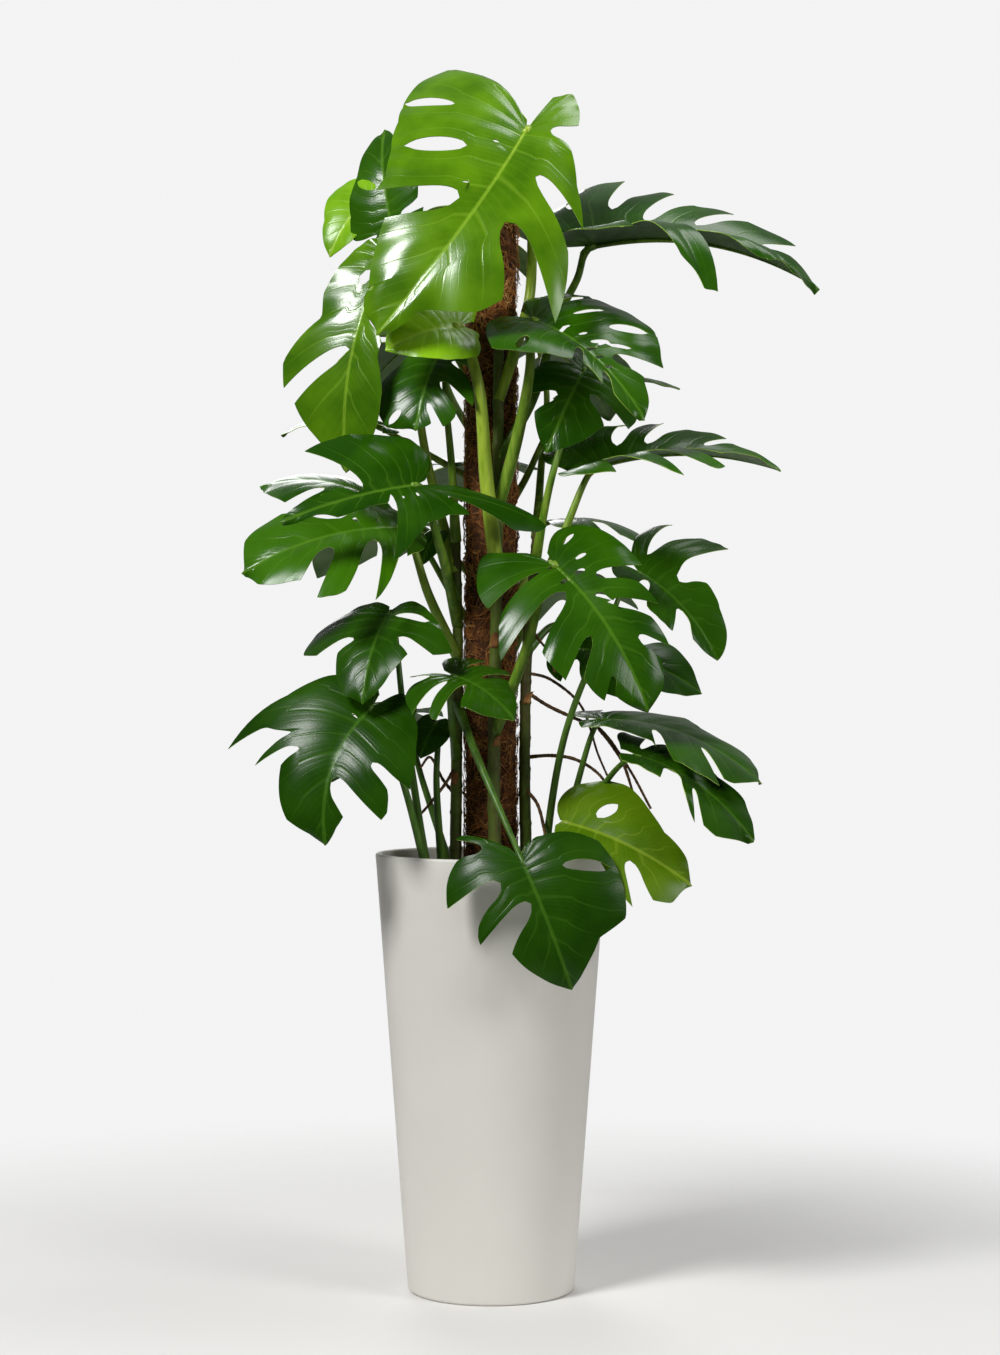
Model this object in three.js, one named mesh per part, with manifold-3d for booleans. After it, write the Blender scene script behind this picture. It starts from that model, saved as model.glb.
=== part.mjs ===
// Swiss cheese plant climbing a coir pole in a round planter.
// Millimetres, +Z up, origin at the centre of the planter's underside, front towards -Y.
import * as THREE from 'three';
import { mergeVertices } from 'three/addons/utils/BufferGeometryUtils.js';
import Module from 'manifold-3d';

const wasm = await Module();
wasm.setup();

// Driving dimensions
const SEAT = 0.3;
const POT_HEIGHT = 566;
const POT_RIM_RADIUS = 150;
const POT_BASE_RADIUS = 108;
const POT_WALL = 9;
const POT_FLOOR = 12;
const POT_SIDES = 32;
const SOIL_BELOW_RIM = 26;
const POLE_RADIUS = 34;
const POLE_TOP = 1405;
const POLE_FOOT = 90;
const POLE_SIDES = 16;
const BLADE_THICKNESS = 1.1;
const STEM_SIDES = 7;
const PETIOLE_RADIUS = 4.6;
const PETIOLE_SIDES = 5;
const PETIOLE_STEPS = 8;
const ROOT_SIDES = 5;

// Blade outline of one half, as shares of the midrib: along it and out from it
const OUTLINE = [
  [-0.15, 0.05], [-0.22, 0.2], [-0.12, 0.37], [0.07, 0.46], [0.28, 0.49],
  [0.5, 0.44], [0.71, 0.32], [0.88, 0.16], [1, 0],
];
// Where the lateral vein that reaches each outline point leaves the midrib
const VEIN_ROOTS = [0, 0, 0, 0.03, 0.12, 0.26, 0.44, 0.66, 1];

const material = (color, roughness) => new THREE.MeshStandardMaterial({ color, roughness, metalness: 0 });
const GREEN = {
  young: material('#7db21a', 0.28),
  mid: material('#3f7f1c', 0.3),
  old: material('#24561a', 0.34),
  yellowing: material('#6f8f1c', 0.4),
};

const clamp01 = (x) => Math.min(1, Math.max(0, x));
const lerp = (a, b, f) => a + (b - a) * f;
const vector = (p) => new THREE.Vector3(p[0], p[1], p[2]);

// Catmull-Rom value of evenly spaced knots at share s
function knotValue(knots, s) {
  const last = knots.length - 1;
  const x = clamp01(s) * last;
  const i = Math.min(Math.floor(x), last - 1);
  const f = x - i;
  const b = knots[i];
  const c = knots[i + 1];
  const a = i > 0 ? knots[i - 1] : 2 * b - c;
  const d = i + 2 <= last ? knots[i + 2] : 2 * c - b;
  const square = (2 * a - 5 * b + 4 * c - d) * f ** 2;
  const cube = (3 * b - a - 3 * c + d) * f ** 3;
  return 0.5 * (2 * b + (c - a) * f + square + cube);
}

// Straight-line value of [share, value] pairs at share s
function lineValue(pairs, s) {
  const i = Math.max(1, pairs.findIndex((pair) => s <= pair[0]));
  const [a, va] = pairs[i - 1];
  const [b, vb] = pairs[i];
  return lerp(va, vb, (s - a) / (b - a));
}

const EVEN_REACH = [[0, 1], [1, 1]];
const NO_DROOP = [[0, 0], [1, 0]];
const OUTLINE_ALONG = OUTLINE.map((p) => p[0]);
const OUTLINE_ACROSS = OUTLINE.map((p) => p[1]);
const veinRoot = (s) => clamp01(knotValue(VEIN_ROOTS, s));

// Point t of the way along the vein that ends at outline share s, on the flat unit blade
function veinPoint(s, t, wide, lobe, reach) {
  const root = veinRoot(s);
  let along = knotValue(OUTLINE_ALONG, s);
  if (along < 0) along *= lobe;
  const across = knotValue(OUTLINE_ACROSS, s) * wide;
  const du = (along - root) * reach;
  const dv = across * reach;
  const bow = 0.15 * Math.hypot(du, dv) * (1 - 0.4 * s);
  const m = 2 * t * (1 - t);
  return [root + m * (0.5 * du - bow) + t * t * du, m * 0.5 * dv + t * t * dv];
}

// Half width of a slit at t. A slit is [outline share, root, half width, end]:
// an end under 1 closes it as a hole there, and an end over 1 widens its mouth.
function slitHalfWidth(slit, t) {
  const [, root, width, end] = slit;
  const x = (t - root) / (1 - root);
  if (x <= 1e-6) return 0;
  if (end < 1) return x >= end ? 0 : width * Math.sqrt(1 - (2 * x / end - 1) ** 2);
  const round = 0.35;
  if (x < round) return width * Math.sqrt(1 - (1 - x / round) ** 2);
  return width * lerp(1, end, ((x - round) / (1 - round)) ** 2);
}

// The curved frame of a leaf: chord from junction to tip, arched, folded, curled and twisted
function leafFrame(leaf) {
  const junction = vector(leaf.junction);
  const chord = vector(leaf.tip).sub(junction);
  const length = chord.length();
  const along = chord.clone().normalize();
  const face = vector(leaf.face);
  face.addScaledVector(along, -face.dot(along)).normalize();
  const left = new THREE.Vector3().crossVectors(face, along);
  return { junction, length, along, face, left };
}

function placeOnLeaf(leaf, frame, u, v, half, lift) {
  const { junction, length, along, face, left } = frame;
  const arch = leaf.arch ?? 0.1;
  const sway = leaf.sway ?? 0;
  const inside = Math.max(u, 0);
  const rise = u >= 0 ? 4 * inside * (1 - inside) : 4 * u;
  const centre = junction.clone().addScaledVector(along, u * length);
  centre.addScaledVector(face, arch * length * rise).addScaledVector(left, sway * length * rise);
  const slope = 4 * (1 - 2 * inside);
  const tangent = along.clone().addScaledVector(face, arch * slope).addScaledVector(left, sway * slope);
  tangent.normalize();
  const up = face.clone().addScaledVector(tangent, -face.dot(tangent)).normalize();
  const side = new THREE.Vector3().crossVectors(up, tangent);
  const turn = THREE.MathUtils.degToRad(leaf.twist ?? 0) * (u - 0.3);
  const across = side.clone().multiplyScalar(Math.cos(turn)).addScaledVector(up, Math.sin(turn));
  const out = up.clone().multiplyScalar(Math.cos(turn)).addScaledVector(side, -Math.sin(turn));
  const fold = THREE.MathUtils.degToRad((leaf.fold ?? [10, 10])[half]);
  const curl = THREE.MathUtils.degToRad((leaf.curl ?? [25, 25])[half]) / (0.5 * length);
  const x = v * length;
  const flat = (Math.sin(fold) - Math.sin(fold - curl * x)) / curl;
  const high = (Math.cos(fold - curl * x) - Math.cos(fold)) / curl;
  centre.addScaledVector(across, half === 0 ? flat : -flat);
  return centre.addScaledVector(out, high + lift);
}

// Open sheet of a leaf's blade: the halves are grids of veins, split along the slits
function bladeSheet(leaf, grid) {
  const frame = leafFrame(leaf);
  const points = [];
  const triangles = [];
  const add = (p) => points.push(p) - 1;
  const midribSteps = grid.midrib;
  const midrib = [];
  for (let i = 0; i <= midribSteps; i += 1) {
    midrib.push(add(placeOnLeaf(leaf, frame, i / midribSteps, 0, 0, 0)));
  }
  const tip = midrib[midribSteps];
  const lastHoleEnd = 1 - 1 / grid.outer;
  const most = Math.max(grid.most, leaf.columns ?? 0);
  const columnStep = grid.step * grid.most / most;
  const closeHole = ([s, root, width, end]) => [s, root, width, end < 1 ? Math.min(end, lastHoleEnd) : end];
  for (const half of [0, 1]) {
    const slits = ((leaf.slits ?? [])[half] ?? []).map(closeHole);
    const reach = (leaf.reach ?? [])[half] ?? EVEN_REACH;
    const droop = (leaf.droop ?? [])[half] ?? NO_DROOP;
    const lobe = (leaf.lobe ?? [1, 1])[half];
    const wide = (leaf.wide ?? [1, 1])[half];
    const edges = [0, ...slits.map((slit) => slit[0]), 1];
    const roots = slits.map((slit) => slit[1]);
    const rootKnots = [roots[0] ?? 0.6, ...roots, roots.at(-1) ?? 0.6];
    const rootDepth = (s) => {
      const i = Math.max(0, edges.findIndex((edge, k) => k > 0 && s <= edge) - 1);
      return lerp(rootKnots[i], rootKnots[i + 1], (s - edges[i]) / (edges[i + 1] - edges[i]));
    };
    const emit = (a, b, c) => {
      if (a === b || b === c || a === c) return;
      triangles.push(half === 0 ? [a, b, c] : [a, c, b]);
    };
    const innerEdge = [];
    let previous = null;
    for (let finger = 0; finger + 1 < edges.length; finger += 1) {
      const from = edges[finger];
      const to = edges[finger + 1];
      const before = slits[finger - 1];
      const after = slits[finger];
      const columns = Math.max(1, Math.min(most, Math.round((to - from) / columnStep)));
      for (let j = 0; j <= columns; j += 1) {
        const f = j / columns;
        const column = [];
        const s0 = lerp(from, to, f);
        for (let row = 1; row <= grid.inner + grid.outer; row += 1) {
          const depth = rootDepth(s0);
          const out = Math.max(0, (row - grid.inner) / grid.outer);
          const t = row <= grid.inner ? depth * row / grid.inner : lerp(depth, 1, out);
          const gapBefore = before ? slitHalfWidth(before, t) : 0;
          const gapAfter = after ? slitHalfWidth(after, t) : 0;
          if (j === 0 && previous && gapBefore < 1e-6) {
            column.push(previous[row - 1]);
            continue;
          }
          if (!after && j === columns) {
            column.push(tip);
            continue;
          }
          const s = lerp(from + gapBefore, to - gapAfter, f);
          const roundNear = before && slitHalfWidth(before, 1) > 0 ? 0.12 * (1 - f) ** 2 : 0;
          const drawFar = after && slitHalfWidth(after, 1) > 0 ? 0.05 * f ** 2 : 0;
          const stretch = lineValue(reach, s) * (1 + out * (drawFar - roundNear));
          const [u, v] = veinPoint(s, t, wide, lobe, stretch);
          const sag = -lineValue(droop, s) * frame.length * out * out;
          column.push(add(placeOnLeaf(leaf, frame, u, v, half, sag)));
        }
        if (j > 0) {
          for (let row = 0; row + 1 < column.length; row += 1) {
            emit(previous[row], column[row], previous[row + 1]);
            emit(column[row], column[row + 1], previous[row + 1]);
          }
        }
        if (innerEdge.length === 0 || innerEdge.at(-1)[0] !== column[0]) {
          innerEdge.push([column[0], veinRoot(s0)]);
        }
        previous = column;
      }
    }
    let i = 0;
    let k = 0;
    while (i < midribSteps || k < innerEdge.length - 1) {
      const midribNext = i < midribSteps
        && (k === innerEdge.length - 1 || (i + 0.5) / midribSteps <= innerEdge[k + 1][1]);
      if (midribNext) {
        emit(midrib[i], midrib[i + 1], innerEdge[k][0]);
        i += 1;
      } else {
        emit(midrib[i], innerEdge[k + 1][0], innerEdge[k][0]);
        k += 1;
      }
    }
  }
  return { points, triangles };
}

// Closed solid of an open sheet: both faces share one triangulation, with walls on the edges
function thickened({ points, triangles }, thickness) {
  const normals = points.map(() => new THREE.Vector3());
  for (const [a, b, c] of triangles) {
    const ab = points[b].clone().sub(points[a]);
    const ac = points[c].clone().sub(points[a]);
    const cross = ab.cross(ac);
    for (const i of [a, b, c]) normals[i].add(cross);
  }
  const count = points.length;
  const positions = [];
  for (const sign of [0.5, -0.5]) {
    points.forEach((p, i) => {
      const q = p.clone().addScaledVector(normals[i].clone().normalize(), sign * thickness);
      positions.push(q.x, q.y, q.z);
    });
  }
  const index = [];
  const edges = new Map();
  for (const [a, b, c] of triangles) {
    index.push(a, b, c, a + count, c + count, b + count);
    for (const [p, q] of [[a, b], [b, c], [c, a]]) edges.set(`${p},${q}`, [p, q]);
  }
  for (const [p, q] of edges.values()) {
    if (edges.has(`${q},${p}`)) continue;
    index.push(p, p + count, q + count, p, q + count, q);
  }
  const geometry = new THREE.BufferGeometry();
  geometry.setAttribute('position', new THREE.Float32BufferAttribute(positions, 3));
  geometry.setIndex(index);
  return geometry;
}

// Closed tube along a curve, with a radius that follows the share of its length
function taperedTube(curve, radiusAt, sides, steps) {
  const frames = curve.computeFrenetFrames(steps, false);
  const positions = [];
  for (let i = 0; i <= steps; i += 1) {
    const centre = curve.getPointAt(i / steps);
    const radius = radiusAt(i / steps);
    for (let k = 0; k < sides; k += 1) {
      const angle = 2 * Math.PI * k / sides;
      const p = centre.clone().addScaledVector(frames.normals[i], radius * Math.cos(angle));
      p.addScaledVector(frames.binormals[i], radius * Math.sin(angle));
      positions.push(p.x, p.y, p.z);
    }
  }
  const index = [];
  for (let i = 0; i < steps; i += 1) {
    for (let k = 0; k < sides; k += 1) {
      const a = i * sides + k;
      const b = i * sides + (k + 1) % sides;
      index.push(a, b, b + sides, a, b + sides, a + sides);
    }
  }
  const lastRing = steps * sides;
  for (let k = 1; k + 1 < sides; k += 1) {
    index.push(0, k + 1, k, lastRing, lastRing + k, lastRing + k + 1);
  }
  const geometry = new THREE.BufferGeometry();
  geometry.setAttribute('position', new THREE.Float32BufferAttribute(positions, 3));
  geometry.setIndex(index);
  return geometry;
}

function toSolid(source) {
  const geometry = source.clone();
  geometry.deleteAttribute('normal');
  geometry.deleteAttribute('uv');
  const merged = mergeVertices(geometry, 1e-4);
  return new wasm.Manifold(new wasm.Mesh({
    numProp: 3,
    vertProperties: new Float32Array(merged.attributes.position.array),
    triVerts: new Uint32Array(merged.index.array),
  }));
}

function toGeometry(solid) {
  const mesh = solid.getMesh();
  const geometry = new THREE.BufferGeometry();
  geometry.setAttribute('position', new THREE.Float32BufferAttribute(mesh.vertProperties, 3));
  geometry.setIndex(Array.from(mesh.triVerts));
  return geometry;
}

// The largest body of a solid, without loose scraps
const mainBody = (solid) => solid.decompose().sort((a, b) => b.volume() - a.volume())[0];

// Climbing stems: feet, middles and tops beside the pole
const STEMS = {
  front: { radius: 9, path: [[6, -45, 420], [4, -45, 700], [8, -45, 960], [10, -44, 1215]] },
  left: { radius: 8.5, path: [[-48, -14, 420], [-45, -10, 640], [-43, -12, 850], [-46, -14, 985]] },
  right: { radius: 8.5, path: [[52, -6, 420], [44, -4, 640], [47, -8, 830], [60, -18, 985]] },
  back: { radius: 9, path: [[4, 46, 420], [-4, 45, 700], [2, 45, 980], [-8, 45, 1190]] },
};

// Slits of the leaves that have no pattern of their own
const TWO_CUTS = [
  [[0.35, 0.3, 0.04, 1.3], [0.65, 0.35, 0.04, 1.3]],
  [[0.35, 0.35, 0.04, 1.3], [0.7, 0.35, 0.04, 1.3]],
];
const THREE_CUTS = [
  [[0.34, 0.4, 0.035, 1.3], [0.52, 0.3, 0.035, 1.3], [0.7, 0.35, 0.03, 1.3]],
  [[0.3, 0.4, 0.035, 1.3], [0.48, 0.3, 0.035, 1.3], [0.67, 0.35, 0.03, 1.3]],
];

// Leaves. Points are millimetres, and face is the way the upper side looks. Pairs are
// [left half, right half], seen along the midrib with the upper side up. Slits are
// [outline share, root, half width, end]; reach stretches the veins at outline shares.
// Stalk is its thickness against the plain one, and columns the most columns between two slits.
const LEAVES = [
  {
    name: 'leaf_crown', green: 'young', from: ['front', 1150],
    via: [[32, -44, 1220], [50, -10, 1290], [52, -42, 1400]],
    junction: [45, -75, 1490], tip: [-142, -165, 1218], face: [-0.1, -0.93, 0.3], stalk: 1.5,
    arch: 0.1, sway: 0.06, fold: [8, 8], curl: [32, 20], wide: [0.92, 1.05], lobe: [2, 1],
    slits: [
      [[0.31, 0.5, 0.03, 1.3], [0.55, 0.33, 0.025, 1.1], [0.69, 0.32, 0.03, 1.3]],
      [[0.335, 0.6, 0.016, 0.93], [0.53, 0.38, 0.03, 0.8], [0.71, 0.22, 0.035, 1],
        [0.895, 0.6, 0.004, 1.2]],
    ],
    reach: [
      [[0, 0.66], [0.08, 0.57], [0.15, 0.52], [0.22, 0.48], [0.3, 0.44], [0.4, 0.54], [0.46, 0.61],
        [0.54, 0.84], [0.58, 1], [0.66, 1.22], [0.72, 1.04], [0.78, 1], [0.84, 0.84],
        [0.91, 0.6], [0.95, 0.76], [1, 1]],
      [[0, 0.3], [0.08, 0.42], [0.13, 0.95], [0.19, 1.3], [0.26, 1.2], [0.34, 1.05], [0.42, 0.92],
        [0.54, 0.82], [0.64, 0.77], [0.72, 0.86], [0.8, 0.88], [0.89, 0.93], [0.9, 1.2], [0.95, 1.25],
        [1, 1]],
    ],
  },
  {
    name: 'leaf_upper_left', green: 'mid', from: ['back', 1150], via: [[-60, 30, 1240], [-120, 10, 1340]],
    junction: [-130, -5, 1385], tip: [-140, 45, 1515], face: [-0.4, -0.9, 0.1],
    wide: [1.2, 1],
    slits: [
      [[0.24, 0.4, 0.03, 1.3], [0.67, 0.25, 0.03, 0.9]],
      [[0.4, 0.35, 0.03, 1.3], [0.7, 0.35, 0.03, 1.3]],
    ],
    reach: [
      [[0, 0.8], [0.22, 0.9], [0.3, 0.95], [0.45, 0.7], [0.56, 0.65], [0.66, 0.6], [0.7, 0.6],
        [0.9, 0.8], [1, 1]],
      [[0, 0.7], [0.5, 0.75], [0.9, 0.85], [1, 1]],
    ],
  },
  {
    name: 'leaf_upper_left_pale', green: 'young', from: ['back', 1180],
    via: [[-60, 48, 1250], [-126, 54, 1366]],
    junction: [-160, 52, 1425], tip: [-212, 34, 1345], face: [-0.5, -0.8, 0.3],
    fold: [15, 25], lobe: [1.3, 1.3],
    reach: [
      [[0, 1], [0.3, 0.8], [0.6, 0.8], [1, 1]],
      [[0, 1], [0.3, 1.15], [0.7, 0.85], [1, 1]],
    ],
  },
  {
    name: 'leaf_hanging_left', green: 'young', from: ['left', 930], via: [[-84, 8, 1080], [-108, -30, 1240]],
    junction: [-135, -52, 1330], tip: [-185, -58, 1055], face: [-0.35, -0.9, 0.3], stalk: 1.15,
    sway: -0.03,
    slits: [
      [[0.62, 0.2, 0.03, 1.3]],
      [[0.48, 0.1, 0.04, 0.3], [0.75, 0.05, 0.025, 1]],
    ],
    reach: [
      [[0, 0.4], [0.6, 0.35], [0.7, 0.42], [0.76, 0.65], [0.86, 0.85], [1, 1]],
      [[0, 0.35], [0.34, 0.38], [0.44, 0.4], [0.52, 0.45], [0.6, 0.42], [0.64, 0.65], [0.67, 0.82],
        [0.74, 0.88], [0.77, 0.98], [0.84, 0.95], [0.9, 0.88], [0.97, 0.75], [1, 1]],
    ],
  },
  {
    name: 'leaf_lime', green: 'young', from: ['front', 930], via: [[-6, -68, 1050], [-16, -92, 1165]],
    junction: [-43, -94, 1238], tip: [-132, -134, 1203], face: [0, -0.85, 0.5], stalk: 1.8,
    wide: [1, 1.25], lobe: [1.2, 1.6], fold: [15, 15],
    reach: [
      [[0, 0.9], [0.2, 0.8], [0.33, 1.2], [0.5, 1.05], [1, 1]],
      [[0, 1.3], [0.2, 1.3], [0.5, 0.95], [1, 1]],
    ],
  },
  {
    name: 'leaf_inner_left', green: 'mid', from: ['left', 970], via: [[-50, -42, 1060], [-58, -45, 1150]],
    junction: [-65, -50, 1210], tip: [-95, -100, 1105], face: [-0.2, -0.8, 0.5],
    slits: [
      [[0.5, 0.4, 0.03, 1.3], [0.7, 0.3, 0.03, 1.3], [0.86, 0.3, 0.02, 1.2]],
      [[0.4, 0.4, 0.03, 1.2], [0.84, 0.6, 0.02, 0.85]],
    ],
    reach: [
      [[0, 0.25], [0.25, 0.5], [0.5, 0.95], [0.64, 1.25], [0.76, 1.4], [0.9, 1.2], [1, 1]],
      [[0, 0.7], [0.5, 0.8], [0.62, 1.3], [0.84, 1.6], [0.92, 1.4], [1, 1]],
    ],
  },
  {
    name: 'leaf_high_right', green: 'mid', from: ['front', 1075],
    via: [[52, -32, 1150], [90, 14, 1270], [112, -2, 1312]],
    junction: [130, -30, 1350], tip: [425, -20, 1295], face: [0, -0.1, 1], stalk: 1.4,
    arch: 0.1, fold: [42, 30], curl: [22, 40], wide: [0.9, 0.8],
    slits: [
      [[0.33, 0.6, 0.02, 0.85], [0.45, 0.45, 0.02, 1.5], [0.57, 0.3, 0.025, 1.5],
        [0.7, 0.35, 0.02, 1.4], [0.85, 0.5, 0.012, 1.3]],
      [[0.48, 0.3, 0.04, 1.4], [0.68, 0.25, 0.05, 1.5], [0.84, 0.4, 0.03, 1.4]],
    ],
    reach: [
      [[0, 0.9], [0.28, 1.2], [0.38, 1.5], [0.5, 1.1], [0.62, 0.9], [0.7, 1], [0.82, 1], [1, 1]],
      [[0, 0.9], [0.4, 0.9], [0.55, 1.2], [0.68, 1.3], [0.8, 1], [1, 1]],
    ],
    droop: [
      [[0, 0], [1, 0]],
      [[0, 0], [0.5, 0.05], [0.58, 0.3], [0.68, 0.28], [0.76, 0.08], [1, 0]],
    ],
  },
  {
    name: 'leaf_fenestrated', green: 'mid', from: ['front', 1010], via: [[36, -70, 1110], [50, -94, 1190]],
    junction: [55, -100, 1245], tip: [190, -190, 1110], face: [0.25, -0.6, 0.75], stalk: 1.6,
    fold: [16, 10], curl: [18, 25],
    slits: [
      [[0.33, 0.5, 0.02, 0.8], [0.62, 0.5, 0.025, 0.8], [0.79, 0.3, 0.03, 1.2]],
      [[0.5, 0.6, 0.02, 0.85], [0.72, 0.2, 0.02, 1.2], [0.85, 0.3, 0.02, 1.2]],
    ],
    reach: [
      [[0, 1], [0.22, 1.15], [0.34, 1.1], [0.6, 1.15], [0.76, 1.05], [0.84, 0.85], [1, 1]],
      [[0, 0.5], [0.12, 0.55], [0.25, 0.8], [0.4, 1], [0.5, 0.85], [0.6, 0.6], [0.7, 0.4], [0.8, 0.45],
        [0.9, 0.8], [1, 1]],
    ],
  },
  {
    name: 'leaf_behind_fenestrated', green: 'mid', from: ['back', 985], via: [[42, 50, 1050], [74, 34, 1115]],
    junction: [115, 42, 1175], tip: [250, 62, 1175], face: [0, -0.1, 1],
    fold: [5, 5],
    slits: TWO_CUTS,
  },
  {
    name: 'leaf_under_fenestrated', green: 'mid', from: ['right', 930], via: [[78, -38, 1050]],
    junction: [120, -32, 1190], tip: [70, -92, 1078], face: [0.1, -0.85, 0.4],
    wide: [1.1, 0.9],
    slits: [
      [[0.3, 0.35, 0.05, 1.3], [0.62, 0.3, 0.04, 1.3]],
      [[0.35, 0.35, 0.04, 1.3], [0.7, 0.35, 0.04, 1.3]],
    ],
    reach: [
      [[0, 1], [0.2, 1.2], [0.45, 1.25], [0.7, 1], [1, 1]],
      [[0, 0.9], [0.4, 1], [1, 1]],
    ],
  },
  {
    name: 'leaf_mid_right', green: 'mid', from: ['right', 880], via: [[90, -30, 970]],
    junction: [135, -30, 1065], tip: [375, -20, 1060], face: [0, -0.05, 1], stalk: 1.2,
    arch: 0.08, fold: [40, 14], curl: [30, 35],
    slits: [
      [[0.34, 0.6, 0.02, 0.9], [0.5, 0.25, 0.03, 1.5], [0.62, 0.3, 0.025, 1.5], [0.8, 0.4, 0.015, 1.3]],
      [[0.42, 0.3, 0.04, 1.5], [0.57, 0.35, 0.03, 1.5], [0.68, 0.4, 0.02, 1.4]],
    ],
    reach: [
      [[0, 0.9], [0.3, 1.3], [0.4, 1.3], [0.48, 1.2], [0.56, 0.9], [0.7, 0.7], [1, 1]],
      [[0, 0.8], [0.38, 1.2], [0.54, 1.35], [0.62, 1.4], [0.7, 1.1], [1, 1]],
    ],
  },
  {
    name: 'leaf_edge_right', green: 'mid', from: ['back', 860], via: [[48, 50, 930]],
    junction: [75, 65, 1000], tip: [210, 50, 972], face: [0, -0.1, 1],
    fold: [5, 5],
    slits: TWO_CUTS,
    reach: [
      [[0, 1], [0.4, 0.7], [0.76, 1], [1, 1]],
      [[0, 1], [0.6, 1], [0.92, 1.5], [1, 1]],
    ],
  },
  {
    name: 'leaf_big_front_right', green: 'mid', from: ['front', 720], via: [[45, -75, 830]],
    junction: [80, -115, 935], tip: [195, -175, 750], face: [0.1, -0.9, 0.35], stalk: 1.4,
    sway: 0.035, curl: [30, 25],
    slits: [
      [[0.25, 0.4, 0.02, 0.5], [0.55, 0.35, 0.025, 1.3], [0.68, 0.3, 0.02, 1.2], [0.8, 0.5, 0.02, 1.3]],
      [[0.34, 0.2, 0.02, 1.3], [0.55, 0.15, 0.045, 1.2], [0.74, 0.35, 0.02, 1.2], [0.86, 0.6, 0.012, 1.2]],
    ],
    reach: [
      [[0, 0.6], [0.14, 0.8], [0.36, 0.85], [0.56, 0.72], [0.7, 0.75], [0.8, 0.9], [0.9, 1.05], [1, 1]],
      [[0, 1.1], [0.08, 1.45], [0.2, 1.2], [0.32, 1], [0.4, 1.1], [0.5, 1.15], [0.56, 1], [0.7, 0.95],
        [0.76, 1], [0.86, 1], [1, 1]],
    ],
  },
  {
    name: 'leaf_right', green: 'old', from: ['soil', [60, -34]], via: [[95, -40, 720], [150, -45, 860]],
    junction: [190, -30, 930], tip: [290, -60, 815], face: [0.3, -0.6, 0.7],
    twist: 20, fold: [35, 10], wide: [1.6, 0.9],
    slits: [
      [[0.3, 0.2, 0.05, 1.5], [0.6, 0.35, 0.06, 1.3]],
      [[0.5, 0.15, 0.04, 1.3], [0.78, 0.2, 0.05, 1.2]],
    ],
    reach: [
      [[0, 0.8], [0.26, 1.65], [0.36, 1], [0.48, 1], [0.57, 0.9], [0.62, 0.5], [0.8, 0.6], [1, 1]],
      [[0, 0.7], [0.6, 0.8], [0.8, 0.7], [1, 1]],
    ],
  },
  {
    name: 'leaf_low_right_upper', green: 'old', from: ['soil', [80, -25]], via: [[112, -38, 660]],
    junction: [145, -50, 740], tip: [340, -130, 660], face: [0.2, -0.3, 0.9],
    fold: [5, 5], lobe: [1.2, 1],
    slits: [
      [[0.28, 0.4, 0.03, 1.3]],
      [[0.66, 0.3, 0.02, 1.2], [0.82, 0.3, 0.012, 1.1]],
    ],
    reach: [
      [[0, 1], [0.1, 1.1], [0.2, 1.1], [0.38, 1], [0.7, 0.55], [0.84, 1], [1, 1]],
      [[0, 0.5], [0.5, 0.4], [0.62, 0.5], [0.68, 1.05], [0.86, 1.3], [1, 1]],
    ],
  },
  {
    name: 'leaf_low_right_lower', green: 'old', from: ['soil', [100, -45]], via: [[136, -50, 640]],
    junction: [185, -120, 695], tip: [325, -180, 590], face: [0.4, -0.5, 0.8],
    slits: [
      [[0.3, 0.3, 0.04, 1.4]],
      [[0.63, 0.1, 0.05, 1.3], [0.74, 0.25, 0.012, 1.5]],
    ],
    reach: [
      [[0, 1], [0.16, 1.3], [0.24, 0.8], [0.7, 0.55], [0.8, 0.85], [1, 1]],
      [[0, 0.4], [0.6, 0.4], [0.68, 0.6], [0.73, 1.1], [0.8, 1.3], [1, 1]],
    ],
  },
  {
    name: 'leaf_yellowing', green: 'yellowing', from: ['soil', [80, -85]], via: [[86, -96, 580]],
    junction: [95, -105, 610], tip: [250, -165, 535], face: [0.2, -0.85, 0.5],
    slits: [
      [[0.55, 0.25, 0.04, 0.5]],
      [[0.78, 0.3, 0.03, 1.2]],
    ],
    reach: [
      [[0, 0.4], [0.1, 0.55], [0.24, 1], [0.36, 1.05], [0.62, 0.8], [0.76, 0.72], [0.88, 0.95], [1, 1]],
      [[0, 0.2], [0.4, 0.3], [0.64, 0.5], [0.76, 1.25], [0.88, 1.4], [1, 1]],
    ],
  },
  {
    name: 'leaf_front_low', green: 'old', from: ['left', 760], via: [[-20, -100, 700], [20, -160, 610]],
    junction: [40, -185, 565], tip: [100, -200, 410], face: [0, -0.98, 0.15],
    sway: 0.01,
    slits: [
      [[0.48, 0.4, 0.03, 0.85]],
      [[0.18, 0.55, 0.03, 1.2], [0.44, 0.35, 0.06, 1.3], [0.64, 0.15, 0.05, 1.2]],
    ],
    reach: [
      [[0, 0.5], [0.2, 0.7], [0.36, 1.3], [0.52, 1.3], [0.66, 1.35], [0.75, 1], [0.9, 0.95], [1, 1]],
      [[0, 1], [0.12, 1.65], [0.34, 1.4], [0.5, 1.15], [0.64, 1], [0.72, 1], [1, 1]],
    ],
  },
  {
    name: 'leaf_low_left', green: 'old', from: ['soil', [-70, -90]], via: [[-110, -110, 660]],
    junction: [-150, -120, 755], tip: [-205, -165, 585], face: [-0.1, -0.85, 0.5],
    sway: -0.1,
    slits: [
      [[0.62, 0.5, 0.025, 1.4], [0.82, 0.08, 0.045, 1]],
      [[0.575, 0.65, 0.02, 1.3], [0.65, 0.6, 0.015, 1.3]],
    ],
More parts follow.
